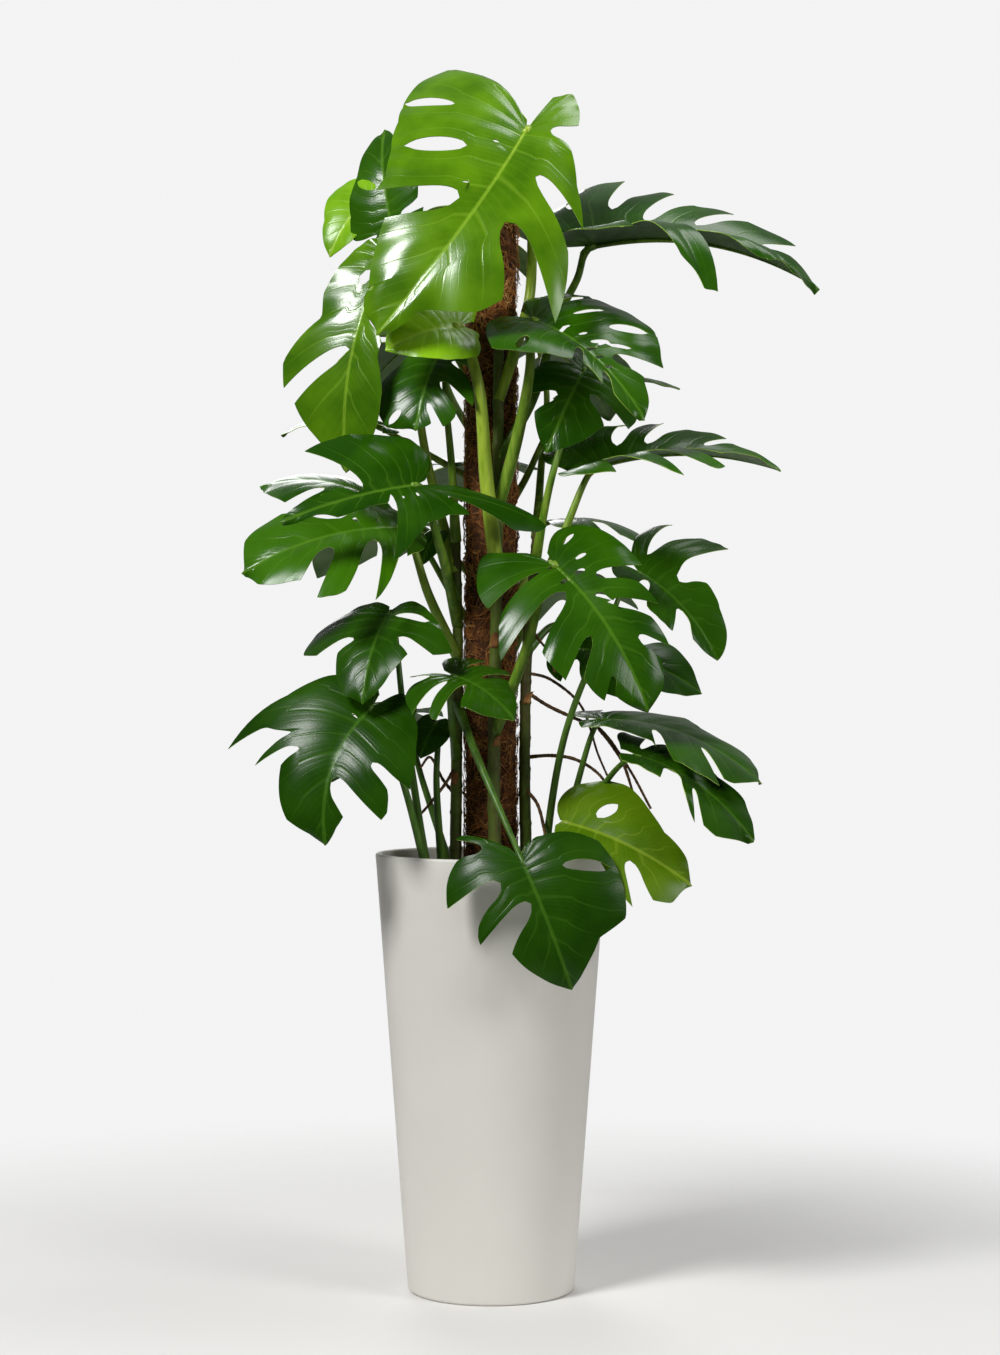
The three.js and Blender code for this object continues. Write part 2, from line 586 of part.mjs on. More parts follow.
    reach: [
      [[0, 1.3], [0.1, 1], [0.22, 0.8], [0.4, 1], [0.56, 1.1], [0.61, 1.2], [0.64, 1.1], [0.74, 1.3],
        [0.81, 1.3], [0.84, 0.95], [0.92, 0.85], [1, 1]],
      [[0, 0.7], [0.3, 0.85], [0.44, 1.1], [0.5, 1.4], [0.57, 1.75], [0.59, 1.15], [0.64, 1.2], [0.66, 1],
        [0.72, 1.05], [0.82, 1.15], [0.92, 1], [1, 1]],
    ],
  },
  {
    name: 'leaf_mid_low_left', green: 'old', from: ['soil', [-75, -50]], via: [[-110, -70, 740]],
    junction: [-130, -75, 875], tip: [-160, -148, 760], face: [-0.3, -0.7, 0.6],
    slits: [
      [[0.42, 0.15, 0.04, 0.7], [0.62, 0.5, 0.03, 1.2]],
      [[0.62, 0.5, 0.03, 1.2]],
    ],
    reach: [
      [[0, 0.6], [0.3, 0.9], [0.46, 1.3], [0.52, 1.5], [0.62, 1], [0.78, 0.9], [1, 1]],
      [[0, 0.7], [0.2, 0.8], [0.3, 1], [0.4, 1.5], [0.52, 1.55], [0.64, 0.9], [0.88, 1.2], [1, 1]],
    ],
  },
  {
    name: 'leaf_small_centre', green: 'old', from: ['left', 690], via: [[-50, -80, 740]],
    junction: [-45, -115, 795], tip: [30, -165, 740], face: [0, -0.5, 0.85],
    wide: [1.2, 1.5], lobe: [1.5, 1.8],
    slits: [
      [[0.35, 0.4, 0.03, 1.3], [0.62, 0.3, 0.03, 1.3]],
      [[0.16, 0.4, 0.05, 1.5], [0.42, 0.2, 0.05, 1.3], [0.62, 0.15, 0.04, 1.3]],
    ],
    reach: [
      [[0, 1], [0.06, 1.3], [0.5, 0.95], [0.74, 0.8], [1, 1]],
      [[0, 1], [0.12, 1.2], [0.24, 1.2], [0.5, 1.1], [0.7, 0.8], [1, 1]],
    ],
  },
  {
    name: 'leaf_small_dark', green: 'old', from: ['soil', [-60, -20]], via: [[-70, -40, 660]],
    junction: [-71, -44, 735], tip: [-90, -60, 690], face: [-0.2, -0.9, 0.3],
  },
  {
    name: 'leaf_star', green: 'mid', from: ['left', 862], via: [[-62, -80, 950]],
    junction: [-95, -125, 1035], tip: [-260, -180, 985], face: [0, -0.86, 0.51], stalk: 1.3,
    arch: 0.06, lobe: [1.6, 1], columns: 3,
    slits: [
      [[0.185, 0.35, 0.012, 1.2], [0.56, 0.3, 0.015, 1.3]],
      [[0.7, 0.14, 0.04, 1]],
    ],
    reach: [
      [[0, 1.5], [0.04, 1.8], [0.09, 2.1], [0.13, 2.3], [0.15, 2.1], [0.17, 1.7], [0.2, 1.15], [0.26, 0.85],
        [0.36, 0.75], [0.45, 0.9], [0.54, 1.1], [0.57, 0.3], [0.65, 0.28], [0.79, 0.5], [0.89, 0.35],
        [1, 1]],
      [[0, 0.6], [0.12, 0.85], [0.25, 1.1], [0.4, 1.1], [0.55, 1.1], [0.66, 1.18], [0.73, 0.35],
        [0.86, 0.4], [1, 1]],
    ],
  },
  {
    name: 'leaf_mid_left', green: 'mid', from: ['left', 820], via: [[-80, -40, 900]],
    junction: [-115, -60, 985], tip: [-315, -100, 925], face: [0, -0.7, 0.7], stalk: 1.3,
    slits: [
      [[0.4, 0.2, 0.02, 1.2], [0.56, 0.2, 0.04, 1.2], [0.73, 0.3, 0.035, 1.1]],
      [[0.3, 0.3, 0.06, 1.3], [0.65, 0.3, 0.06, 1.3]],
    ],
    reach: [
      [[0, 0.5], [0.4, 0.6], [0.46, 0.95], [0.54, 1.2], [0.62, 1.2], [0.72, 1.05], [0.78, 1],
        [0.9, 1.2], [1, 1]],
      [[0, 0.8], [0.6, 0.8], [0.86, 1.25], [1, 1]],
    ],
  },
  {
    name: 'leaf_far_left', green: 'mid', from: ['back', 900], via: [[-80, 30, 980]],
    junction: [-155, 25, 1030], tip: [-305, 50, 1045], face: [0, -0.3, 0.95],
    fold: [5, 5],
    slits: [
      [[0.35, 0.3, 0.04, 1.3], [0.65, 0.35, 0.03, 1.3]],
      [[0.5, 0.35, 0.04, 1.3]],
    ],
    reach: [
      [[0, 0.8], [0.66, 1.4], [0.88, 1.2], [1, 1]],
      [[0, 0.5], [0.6, 0.7], [0.76, 1.4], [1, 1]],
    ],
  },
  {
    name: 'leaf_small_grey', green: 'mid', from: ['left', 893], via: [[-60, -22, 940]],
    junction: [-70, -24, 978], tip: [-88, -36, 938], face: [-0.3, -0.8, 0.5],
    wide: [0.8, 0.8],
  },
  {
    name: 'leaf_back_centre', green: 'mid', from: ['back', 930], via: [[-14, 78, 1010]],
    junction: [-28, 92, 1080], tip: [-40, 275, 1040], face: [0, 0.15, 1],
    slits: THREE_CUTS,
  },
  {
    name: 'leaf_back_left_tip', green: 'mid', from: ['back', 1040], via: [[-70, 40, 1080]],
    junction: [-150, 25, 1125], tip: [-275, 20, 1110], face: [0, -0.2, 1],
    slits: TWO_CUTS,
  },
  {
    name: 'leaf_behind_front_right', green: 'old', from: ['right', 830], via: [[85, 15, 862]],
    junction: [120, 25, 830], tip: [275, 12, 772], face: [0, -0.6, 0.8],
    slits: TWO_CUTS,
  },
  {
    name: 'leaf_back_high', green: 'young', from: ['back', 1120], via: [[0, 72, 1230]],
    junction: [-10, 105, 1400], tip: [-60, 265, 1290], face: [0, 0.6, 0.8],
    slits: THREE_CUTS,
  },
  {
    name: 'leaf_back_left_high', green: 'mid', from: ['back', 1080], via: [[-50, 80, 1160]],
    junction: [-90, 120, 1250], tip: [-195, 230, 1150], face: [-0.3, 0.5, 0.8],
    slits: THREE_CUTS,
  },
  {
    name: 'leaf_back_right_high', green: 'mid', from: ['right', 975], via: [[66, 62, 1070], [74, 90, 1170]],
    junction: [70, 120, 1240], tip: [165, 245, 1150], face: [0.3, 0.5, 0.8],
    slits: THREE_CUTS,
  },
  {
    name: 'leaf_back_left_mid', green: 'mid', from: ['back', 820], via: [[-50, 75, 900]],
    junction: [-115, 110, 1000], tip: [-240, 205, 930], face: [-0.3, 0.5, 0.8],
    slits: THREE_CUTS,
  },
  {
    name: 'leaf_back_right_mid', green: 'mid', from: ['back', 760], via: [[40, 80, 850]],
    junction: [80, 115, 930], tip: [165, 235, 820], face: [0.3, 0.5, 0.8],
    slits: THREE_CUTS,
  },
  {
    name: 'leaf_back_left_low', green: 'old', from: ['soil', [-40, 80]], via: [[-90, 100, 650]],
    junction: [-125, 110, 745], tip: [-220, 195, 650], face: [-0.3, 0.5, 0.8],
    slits: THREE_CUTS,
  },
];

// Aerial roots: the stem and height they grow from, their run and any branch
const AERIAL_ROOTS = [
  {
    name: 'aerial_root_right_long', from: ['right', 776], radius: 2.6,
    run: [[74, 2, 757], [115, 10, 738], [141, 14, 727], [180, 18, 675], [209, 22, 622]],
    branch: [[141, 14, 727], [158, 12, 705], [172, 6, 682], [188, 0, 632]],
  },
  {
    name: 'aerial_root_right_inner', from: ['right', 800], radius: 2.2,
    run: [[80, 40, 790], [118, 48, 757], [141, 44, 692], [153, 40, 664]],
  },
  {
    name: 'aerial_root_right_low', from: ['right', 690], radius: 2.6,
    run: [[80, 6, 692], [110, 0, 687], [140, -12, 668], [158, -20, 640]],
  },
  {
    name: 'aerial_root_right_upper', from: ['right', 870], radius: 2,
    run: [[58, -30, 848], [74, -36, 826], [82, -30, 800]],
  },
  {
    name: 'aerial_root_right_foot', from: ['right', 650], radius: 2.4,
    run: [[60, -36, 630], [68, -54, 600], [73, -66, 560], [76, -70, 520]],
  },
  {
    name: 'aerial_root_left_low', from: ['left', 680], radius: 2.4,
    run: [[-60, -26, 655], [-84, -34, 625], [-100, -36, 608]],
  },
  {
    name: 'aerial_root_left_cross', from: ['left', 640], radius: 2.4,
    run: [[-62, 2, 660], [-80, 6, 690], [-92, 10, 676]],
  },
];

// Planter, soil, pole and stems
const SOIL_TOP = POT_HEIGHT - SOIL_BELOW_RIM;
const potRadius = (z) => lerp(POT_BASE_RADIUS, POT_RIM_RADIUS, z / POT_HEIGHT);

function lathe(profile, sides) {
  const points = profile.map(([r, z]) => new THREE.Vector2(r, z));
  const geometry = new THREE.LatheGeometry(points, sides);
  return geometry.rotateX(Math.PI / 2);
}

function planterGeometry() {
  const inside = (z) => potRadius(z) - POT_WALL;
  const edge = 2.5;
  return lathe([
    [0, 0], [potRadius(0) - edge, 0], [potRadius(edge), edge],
    [potRadius(POT_HEIGHT - edge), POT_HEIGHT - edge], [potRadius(POT_HEIGHT) - edge, POT_HEIGHT],
    [inside(POT_HEIGHT) + edge, POT_HEIGHT], [inside(POT_HEIGHT - edge), POT_HEIGHT - edge],
    [inside(POT_FLOOR), POT_FLOOR], [0, POT_FLOOR],
  ], POT_SIDES);
}

function soilGeometry() {
  const low = POT_FLOOR + SEAT;
  const wall = (z) => potRadius(z) - POT_WALL - 2 * SEAT;
  const mound = 6;
  return lathe([
    [0, low], [wall(low), low], [wall(SOIL_TOP), SOIL_TOP], [0.6 * wall(SOIL_TOP), SOIL_TOP + mound],
    [0, SOIL_TOP + mound],
  ], POT_SIDES);
}

function poleGeometry(extra) {
  const radius = POLE_RADIUS + extra;
  const edge = 3;
  return lathe([
    [0, POLE_FOOT - extra], [radius, POLE_FOOT - extra], [radius, POLE_TOP - edge],
    [radius - edge, POLE_TOP + extra], [0, POLE_TOP + extra],
  ], POLE_SIDES);
}

const stemCurves = {};
for (const [name, stem] of Object.entries(STEMS)) {
  stemCurves[name] = new THREE.CatmullRomCurve3(stem.path.map(vector));
}

function stemGeometry(name, extra) {
  const { radius } = STEMS[name];
  const steps = 9;
  return taperedTube(stemCurves[name], (x) => radius * (1 - 0.25 * x) + extra, STEM_SIDES, steps);
}

function stemPoint(name, z) {
  const curve = stemCurves[name];
  let low = 0;
  let high = 1;
  for (let i = 0; i < 30; i += 1) {
    const middle = (low + high) / 2;
    if (curve.getPoint(middle).z < z) low = middle;
    else high = middle;
  }
  return curve.getPoint(low);
}

function startPoint(from) {
  const [home, where] = from;
  if (home === 'soil') return new THREE.Vector3(where[0], where[1], SOIL_TOP - 40);
  return stemPoint(home, where);
}

// Leaf stalk: from its foot to the blade, ending along the start of the midrib
function petioleCurve(leaf) {
  const frame = leafFrame(leaf);
  const { junction, along, face } = frame;
  const under = junction.clone().addScaledVector(along, -6).addScaledVector(face, -6);
  const end = placeOnLeaf(leaf, frame, 5 / frame.length, 0, 0, -0.8);
  return new THREE.CatmullRomCurve3([startPoint(leaf.from), ...leaf.via.map(vector), under, end]);
}

// Radius of a leaf stalk: a sheath at its foot, then a slow taper
function stalkRadius(leaf, x) {
  const radius = PETIOLE_RADIUS * (leaf.stalk ?? 1);
  const sheathed = 0.25;
  const foot = Math.max(1.15 * radius, 1.7 * PETIOLE_RADIUS);
  if (x < sheathed) return lerp(foot, 1.15 * radius, x / sheathed);
  return radius * lerp(1.15, 0.7, (x - sheathed) / (1 - sheathed));
}

function stalkSolid(leaf, extra) {
  const radiusAt = (x) => stalkRadius(leaf, x) + extra;
  return toSolid(taperedTube(petioleCurve(leaf), radiusAt, PETIOLE_SIDES, PETIOLE_STEPS));
}

const LEAF_GRID = { midrib: 6, inner: 1, outer: 3, step: 0.13, most: 2 };

function leafSolid(leaf, stemSolids) {
  const blade = toSolid(thickened(bladeSheet(leaf, LEAF_GRID), BLADE_THICKNESS));
  const solid = blade.add(stalkSolid(leaf, 0));
  if (leaf.from[0] === 'soil') return solid;
  return mainBody(solid.subtract(stemSolids[leaf.from[0]]));
}

const plant = new THREE.Group();
function addPart(name, geometry, finish) {
  const mesh = new THREE.Mesh(geometry, finish);
  mesh.name = name;
  plant.add(mesh);
}

const stemSolids = {};
for (const name of Object.keys(STEMS)) {
  addPart(`stem_${name}`, stemGeometry(name, 0), material('#5d7a2c', 0.6));
  stemSolids[name] = toSolid(stemGeometry(name, SEAT));
}

let soil = toSolid(soilGeometry()).subtract(toSolid(poleGeometry(SEAT)));
for (const solid of Object.values(stemSolids)) soil = soil.subtract(solid);

for (const leaf of LEAVES) {
  addPart(leaf.name, toGeometry(leafSolid(leaf, stemSolids)), GREEN[leaf.green]);
  if (leaf.from[0] === 'soil') soil = soil.subtract(stalkSolid(leaf, SEAT));
}

function rootSolid(root, extra) {
  const path = (points) => new THREE.CatmullRomCurve3(points);
  const radiusAt = (x) => root.radius * (1 - 0.35 * x) + extra;
  const run = [startPoint(root.from), ...root.run.map(vector)];
  let solid = toSolid(taperedTube(path(run), radiusAt, ROOT_SIDES, 10));
  if (root.branch) {
    solid = solid.add(toSolid(taperedTube(path(root.branch.map(vector)), radiusAt, ROOT_SIDES, 6)));
  }
  return mainBody(solid.subtract(stemSolids[root.from[0]]));
}

for (const root of AERIAL_ROOTS) {
  addPart(root.name, toGeometry(rootSolid(root, 0)), material('#6b4a2a', 0.85));
  if (root.run.at(-1)[2] < SOIL_TOP) soil = soil.subtract(rootSolid(root, SEAT));
}

addPart('soil', toGeometry(mainBody(soil)), material('#3a2a1e', 0.95));
addPart('coir_pole', poleGeometry(0), material('#8a5228', 0.95));
addPart('planter', planterGeometry(), material('#e9e7e1', 0.5));

export default plant;
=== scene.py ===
"""Swiss cheese plant climbing a coir pole in a round planter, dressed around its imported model.
Metres, +Z up, front towards -Y. The tables are in millimetres, as the leaves were measured."""

import math
import random

import bpy
import numpy as np
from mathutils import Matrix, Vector


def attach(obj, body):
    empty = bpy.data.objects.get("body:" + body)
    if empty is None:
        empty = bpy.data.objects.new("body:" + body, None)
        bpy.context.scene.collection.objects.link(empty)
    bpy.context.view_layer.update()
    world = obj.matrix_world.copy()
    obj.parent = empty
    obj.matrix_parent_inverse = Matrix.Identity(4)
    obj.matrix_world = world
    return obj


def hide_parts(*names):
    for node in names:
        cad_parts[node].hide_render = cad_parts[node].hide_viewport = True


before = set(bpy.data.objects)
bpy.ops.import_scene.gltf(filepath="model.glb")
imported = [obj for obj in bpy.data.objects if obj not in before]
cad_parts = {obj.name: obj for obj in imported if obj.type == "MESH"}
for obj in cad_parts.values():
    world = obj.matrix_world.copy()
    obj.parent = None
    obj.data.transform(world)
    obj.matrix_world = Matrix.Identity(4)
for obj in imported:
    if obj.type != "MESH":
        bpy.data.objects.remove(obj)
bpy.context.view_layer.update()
scene = bpy.context.scene
MM = 0.001


def place_object(name, data):
    made = bpy.data.objects.new(name, data)
    scene.collection.objects.link(made)
    return made


# Camera: level, at half the height of the view, 3.6 m in front of the pole
VIEW_DISTANCE = 3.6
VIEW_HEIGHT = 1.7615
camera = place_object("camera", bpy.data.cameras.new("camera"))
camera.data.sensor_width = 36.0
camera.data.lens = camera.data.sensor_width * VIEW_DISTANCE / VIEW_HEIGHT
camera.location = (0.0117, -VIEW_DISTANCE, 0.79365)
camera.rotation_euler = (math.radians(90), 0, 0)
scene.camera = camera

# Light: two large soft boxes in front, two softer above and behind, and a pale room round them.
# Each box: where it stands, the height it is aimed at on the pole's axis, its width and its power
SOFT_BOXES = {
    "key_light": ((-1.7, -2.0, 3.0), 1.05, 1.0, 108),
    "fill_light": ((2.4, -1.8, 1.9), 0.9, 1.3, 34),
    "top_light": ((0.9, 0.3, 3.4), 1.0, 1.2, 20),
    "back_light": ((-0.5, 2.7, 2.2), 0.9, 1.4, 20),
}
for name, (place, aim, width, power) in SOFT_BOXES.items():
    box = place_object(name, bpy.data.lights.new(name, "AREA"))
    box.data.shape = "DISK"
    box.data.size = width
    box.data.energy = power
    box.location = place
    box.rotation_euler = (Vector((0, 0, aim)) - Vector(place)).to_track_quat("-Z", "Y").to_euler()

scene.view_settings.view_transform = "Standard"


# Materials
def linear(hex_colour):
    """Linear RGBA of an sRGB hex colour."""
    shares = [int(hex_colour[i:i + 2], 16) / 255 for i in (1, 3, 5)]
    return tuple(c / 12.92 if c <= 0.04045 else ((c + 0.055) / 1.055) ** 2.4 for c in shares) + (1.0,)


def add(tree, kind, inputs=(), **settings):
    """Adds a node with its settings, and a value or a link for each input, by name or in their order.
    A node given as an input stands for its first output in use."""
    made = tree.nodes.new(kind)
    for name, value in settings.items():
        setattr(made, name, value)
    for key, value in inputs.items() if isinstance(inputs, dict) else enumerate(inputs):
        if isinstance(value, bpy.types.Node):
            value = next(socket for socket in value.outputs if socket.enabled)
        if isinstance(value, bpy.types.NodeSocket):
            tree.links.new(value, made.inputs[key])
        else:
            made.inputs[key].default_value = value
    return made


def pale_room():
    """An even pale room, which lights the plant softly from behind and above and only dimly from the front."""
    world = bpy.data.worlds.new("pale_room")
    world.use_nodes = True
    tree = world.node_tree
    tree.nodes.clear()
    way = add(tree, "ShaderNodeTexCoord").outputs["Generated"]
    way = add(tree, "ShaderNodeSeparateXYZ", [way])
    back = add(tree, "ShaderNodeMapRange", [way.outputs["Y"], -0.2, 0.8, 0.08, 0.3], interpolation_type="SMOOTHSTEP")
    seen = add(tree, "ShaderNodeLightPath").outputs["Is Camera Ray"]
    strength = add(tree, "ShaderNodeMix", {"Factor": seen, "A": back, "B": 0.9}, data_type="FLOAT")
    light = add(tree, "ShaderNodeBackground", {"Color": (1, 1, 1, 1), "Strength": strength})
    add(tree, "ShaderNodeOutputWorld", {"Surface": light})
    return world


scene.world = pale_room()


def new_material(name):
    """An empty material, its node tree, and the place on the object that its textures follow."""
    material = bpy.data.materials.new(name)
    material.use_nodes = True
    tree = material.node_tree
    tree.nodes.clear()
    return material, tree, add(tree, "ShaderNodeTexCoord").outputs["Object"]


def surface(tree, colour, roughness, bump_height, bump_depth, **constants):
    """Ends a material: one principled surface with its bump. Constants are set on its own sockets."""
    bump = add(tree, "ShaderNodeBump", {"Height": bump_height, "Distance": bump_depth, "Strength": 1.0})
    skin = add(tree, "ShaderNodeBsdfPrincipled", {"Base Color": colour, "Roughness": roughness, "Normal": bump})
    for name, value in constants.items():
        skin.inputs[name.replace("_", " ").title().replace("Ior", "IOR")].default_value = value
    add(tree, "ShaderNodeOutputMaterial", {"Surface": skin})
    return skin


def waxy_leaf(name, deep, bright, vein, roughness, shine):
    """Fresh leaf with a waxy cuticle: quilted between its pale sunken veins, mottled, and glossy."""
    material, tree, place = new_material(name)
    run = add(tree, "ShaderNodeSeparateXYZ", [add(tree, "ShaderNodeUVMap", uv_map="vein_run")])
    room = add(tree, "ShaderNodeSeparateXYZ", [add(tree, "ShaderNodeUVMap", uv_map="vein_room")])
    # The leaf's tone: partly its own colour, partly painted shade and painted light for where it hangs
    tone_and_shade = add(tree, "ShaderNodeAttribute", attribute_name="leaf_tone_and_shade").outputs["Fac"]

    # Main side veins lie at half steps of the run, and finer ones at each fifth of a step
    masks = []
    for count, width in ((1, 1.1), (5, 0.5)):
        scaled = add(tree, "ShaderNodeMath", [run, float(count)], operation="MULTIPLY")
        part = add(tree, "ShaderNodeMath", [scaled], operation="FRACT")
        off = add(tree, "ShaderNodeMath", [part, 0.5], operation="SUBTRACT")
        share = add(tree, "ShaderNodeMath", [off], operation="ABSOLUTE")
        space = add(tree, "ShaderNodeMath", [room, 1.0 / count], operation="MULTIPLY")
        away = add(tree, "ShaderNodeMath", [share, space], operation="MULTIPLY")
        line = add(tree, "ShaderNodeMapRange", [away, 0.3 * width, width, 1.0, 0.0], interpolation_type="SMOOTHSTEP")
        thin = add(tree, "ShaderNodeMapRange", [run.outputs["Y"], 0.5, 1.0, 1.0, 0.15])
        masks.append(add(tree, "ShaderNodeMath", [line, thin], operation="MULTIPLY"))
    main_vein, fine_vein = masks
    rib = add(tree, "ShaderNodeMapRange", [room.outputs["Y"], 1.2, 3.2, 1.0, 0.0], interpolation_type="SMOOTHSTEP")

    # Soft patches 60 mm across and a fine grain of 3 mm
    mottle = add(tree, "ShaderNodeTexNoise", {"Vector": place, "Scale": 16.0, "Detail": 3.0, "Roughness": 0.5})
    grain = add(tree, "ShaderNodeTexNoise", {"Vector": place, "Scale": 330.0, "Detail": 2.0})
    shade = add(tree, "ShaderNodeMapRange", [mottle, 0.3, 0.7, 0.05, 0.65])
    shade = add(tree, "ShaderNodeMath", [shade, tone_and_shade], operation="ADD", use_clamp=True)
    colour = add(tree, "ShaderNodeMix", {"Factor": shade, "A": linear(deep), "B": linear(bright)}, data_type="RGBA")
    for mask, strength in ((fine_vein, 0.04), (main_vein, 0.15), (rib, 0.42)):
        amount = add(tree, "ShaderNodeMath", [mask, strength], operation="MULTIPLY")
        colour = add(tree, "ShaderNodeMix", {"Factor": amount, "A": colour, "B": linear(vein)}, data_type="RGBA")
    wear = add(tree, "ShaderNodeMapRange", [mottle, 0.25, 0.75, roughness - 0.04, roughness + 0.06])
    height = 0.5
    for relief, rise in ((main_vein, -0.3), (fine_vein, -0.07), (grain, 0.12)):
        height = add(tree, "ShaderNodeMath", [relief, rise, height], operation="MULTIPLY_ADD")
    surface(tree, colour, wear, height, 0.5 * MM, ior=1.46, specular_ior_level=shine)
    return material


def plain_tissue(name, deep, bright, roughness, streak=(40.0, 40.0, 40.0)):
    """Soft green plant tissue: streaked or mottled, with a satin skin."""
    material, tree, place = new_material(name)
    stretched = add(tree, "ShaderNodeMapping", {"Vector": place, "Scale": streak})
    # The leaf's tone: partly its own colour, partly painted shade and painted light for where it hangs
    tone_and_shade = add(tree, "ShaderNodeAttribute", attribute_name="leaf_tone_and_shade").outputs["Fac"]
    noise = add(tree, "ShaderNodeTexNoise", {"Vector": stretched, "Scale": 1.0, "Detail": 4.0})
    grain = add(tree, "ShaderNodeTexNoise", {"Vector": place, "Scale": 400.0, "Detail": 2.0})
    shade = add(tree, "ShaderNodeMapRange", [noise, 0.3, 0.7])
    shade = add(tree, "ShaderNodeMath", [shade, tone_and_shade], operation="ADD", use_clamp=True)
    colour = add(tree, "ShaderNodeMix", {"Factor": shade, "A": linear(deep), "B": linear(bright)}, data_type="RGBA")
    wear = add(tree, "ShaderNodeMapRange", [grain, 0.0, 1.0, roughness - 0.06, roughness + 0.08])
    surface(tree, colour, wear, noise, 0.2 * MM, ior=1.45)
    return material


# Waxy upper side of each age, from lime to glossy dark green: deep and bright tone, vein, roughness, shine.
# The fresh skin is the newest leaves' own lime, made brighter still as a painted glow of light coming through them
LEAF_SKINS = {age: waxy_leaf(f"waxy_leaf_{age}", *look) for age, look in {
    "fresh_backlit": ("#5a9008", "#8cc016", "#aed04a", 0.26, 0.4),
    "young": ("#386401", "#6a9a05", "#94bc34", 0.19, 0.5),
    "mid": ("#1b4401", "#386a04", "#5f8e24", 0.22, 0.28),
    "old": ("#173b01", "#2d5904", "#4c7a1e", 0.25, 0.2),
    "yellowing": ("#466a02", "#68890a", "#98b234", 0.32, 0.3),
}.items()}
# The paler, duller lower side of the blades
UNDERSIDES = {age: plain_tissue(f"leaf_underside_{age}", *look) for age, look in {
    # Fresh lower side: the newest leaves' own pale lime, brightened as a painted glow of light coming through
    "fresh_backlit": ("#7aa82c", "#9cc24c", 0.45),
    "young": ("#5c8220", "#82a23e", 0.45),
    "mid": ("#42662a", "#5e8240", 0.45),
    "old": ("#345626", "#4e723a", 0.47),
    "yellowing": ("#647c22", "#82963a", 0.48),
}.items()}
# Thin leaf edge: a pale lime line round each blade, a painted glow of light coming through it
MARGIN_GLOW = plain_tissue("leaf_margin_glow", "#7ea436", "#a4c456", 0.4)
# Smooth stalk skin with fine lengthwise streaks
STALKS = {age: plain_tissue(f"stalk_skin_{age}", *look, streak=(160.0, 160.0, 14.0)) for age, look in {
    "young": ("#789a1a", "#a8c23e", 0.36),
    "mid": ("#527c14", "#86a434", 0.38),
    "old": ("#345c10", "#5a802a", 0.4),
    "yellowing": ("#6f8c24", "#95a83e", 0.4),
}.items()}

# Sizes in millimetres
SOIL_TOP = 540.0
DEPTH_IN_SOIL = 40.0
STALK_RADIUS = 4.6
POT_HEIGHT = 566.0
POT_RIM_RADIUS = 150.0
POT_BASE_RADIUS = 108.0
POT_WALL = 9.0
POT_FLOOR = 12.0
POLE_RADIUS = 34.0
POLE_TOP = 1405.0
STEM_TAPER = 0.25
ROOT_TAPER = 0.35

# Climbing stems: radius, path, and the dry scraps on each by height, way round, length and half width
STEMS = {
    "front": (9, [(6, -45, 420), (4, -45, 700), (8, -45, 960), (10, -44, 1215)],
              [(832, -1.9, 30, 6), (706, -1.2, 22, 5)]),
    "left": (8.5, [(-48, -14, 420), (-45, -10, 640), (-43, -12, 850), (-46, -14, 985)],
             [(655, -2.0, 26, 5), (800, -1.7, 20, 4)]),
    "right": (8.5, [(52, -6, 420), (44, -4, 640), (47, -8, 830), (60, -18, 985)], [(760, -1.3, 24, 5)]),
    "back": (9, [(4, 46, 420), (-4, 45, 700), (2, 45, 980), (-8, 45, 1190)], [(840, 1.4, 26, 5)]),
}

# Slits that several leaves share, and what a leaf has where its row doesn't say: thickness of its stalk against
# the plain one, arch and sway of its midrib, twist, for each half its fold, curl, width and ear, and its tone,
# which is partly the leaf's own colour and partly painted shade and painted light
TWO_CUTS = ["35:30:4:130 65:35:4:130", "35:35:4:130 70:35:4:130"]
THREE_CUTS = ["34:40:3.5:130 52:30:3.5:130 70:35:3:130", "30:40:3.5:130 48:30:3.5:130 67:35:3:130"]
PLAIN_LEAF = dict(
    stalk=1, arch=0.1, sway=0, twist=0, fold=(10, 10), curl=(25, 25), wide=(1, 1), lobe=(1, 1), tone_and_shade=0.0,
    slits=["", ""], reach=["0:100 100:100"] * 2, droop=["0:0 100:0"] * 2, holes=())


class Leaf(dict):
    """A leaf's measures. Its slits, reach and droop are written in hundredths, as knots with colons."""

    def __init__(self, name, age, start, via, junction, tip, face, **shape):
        super().__init__(PLAIN_LEAF, name="leaf_" + name, age=age, start=start, via=via, junction=junction,
                         tip=tip, face=face, **shape)
        for key in ("slits", "reach", "droop"):
            self[key] = [[tuple(float(x) / 100 for x in knot.split(":")) for knot in half.split()]
                         for half in self[key]]
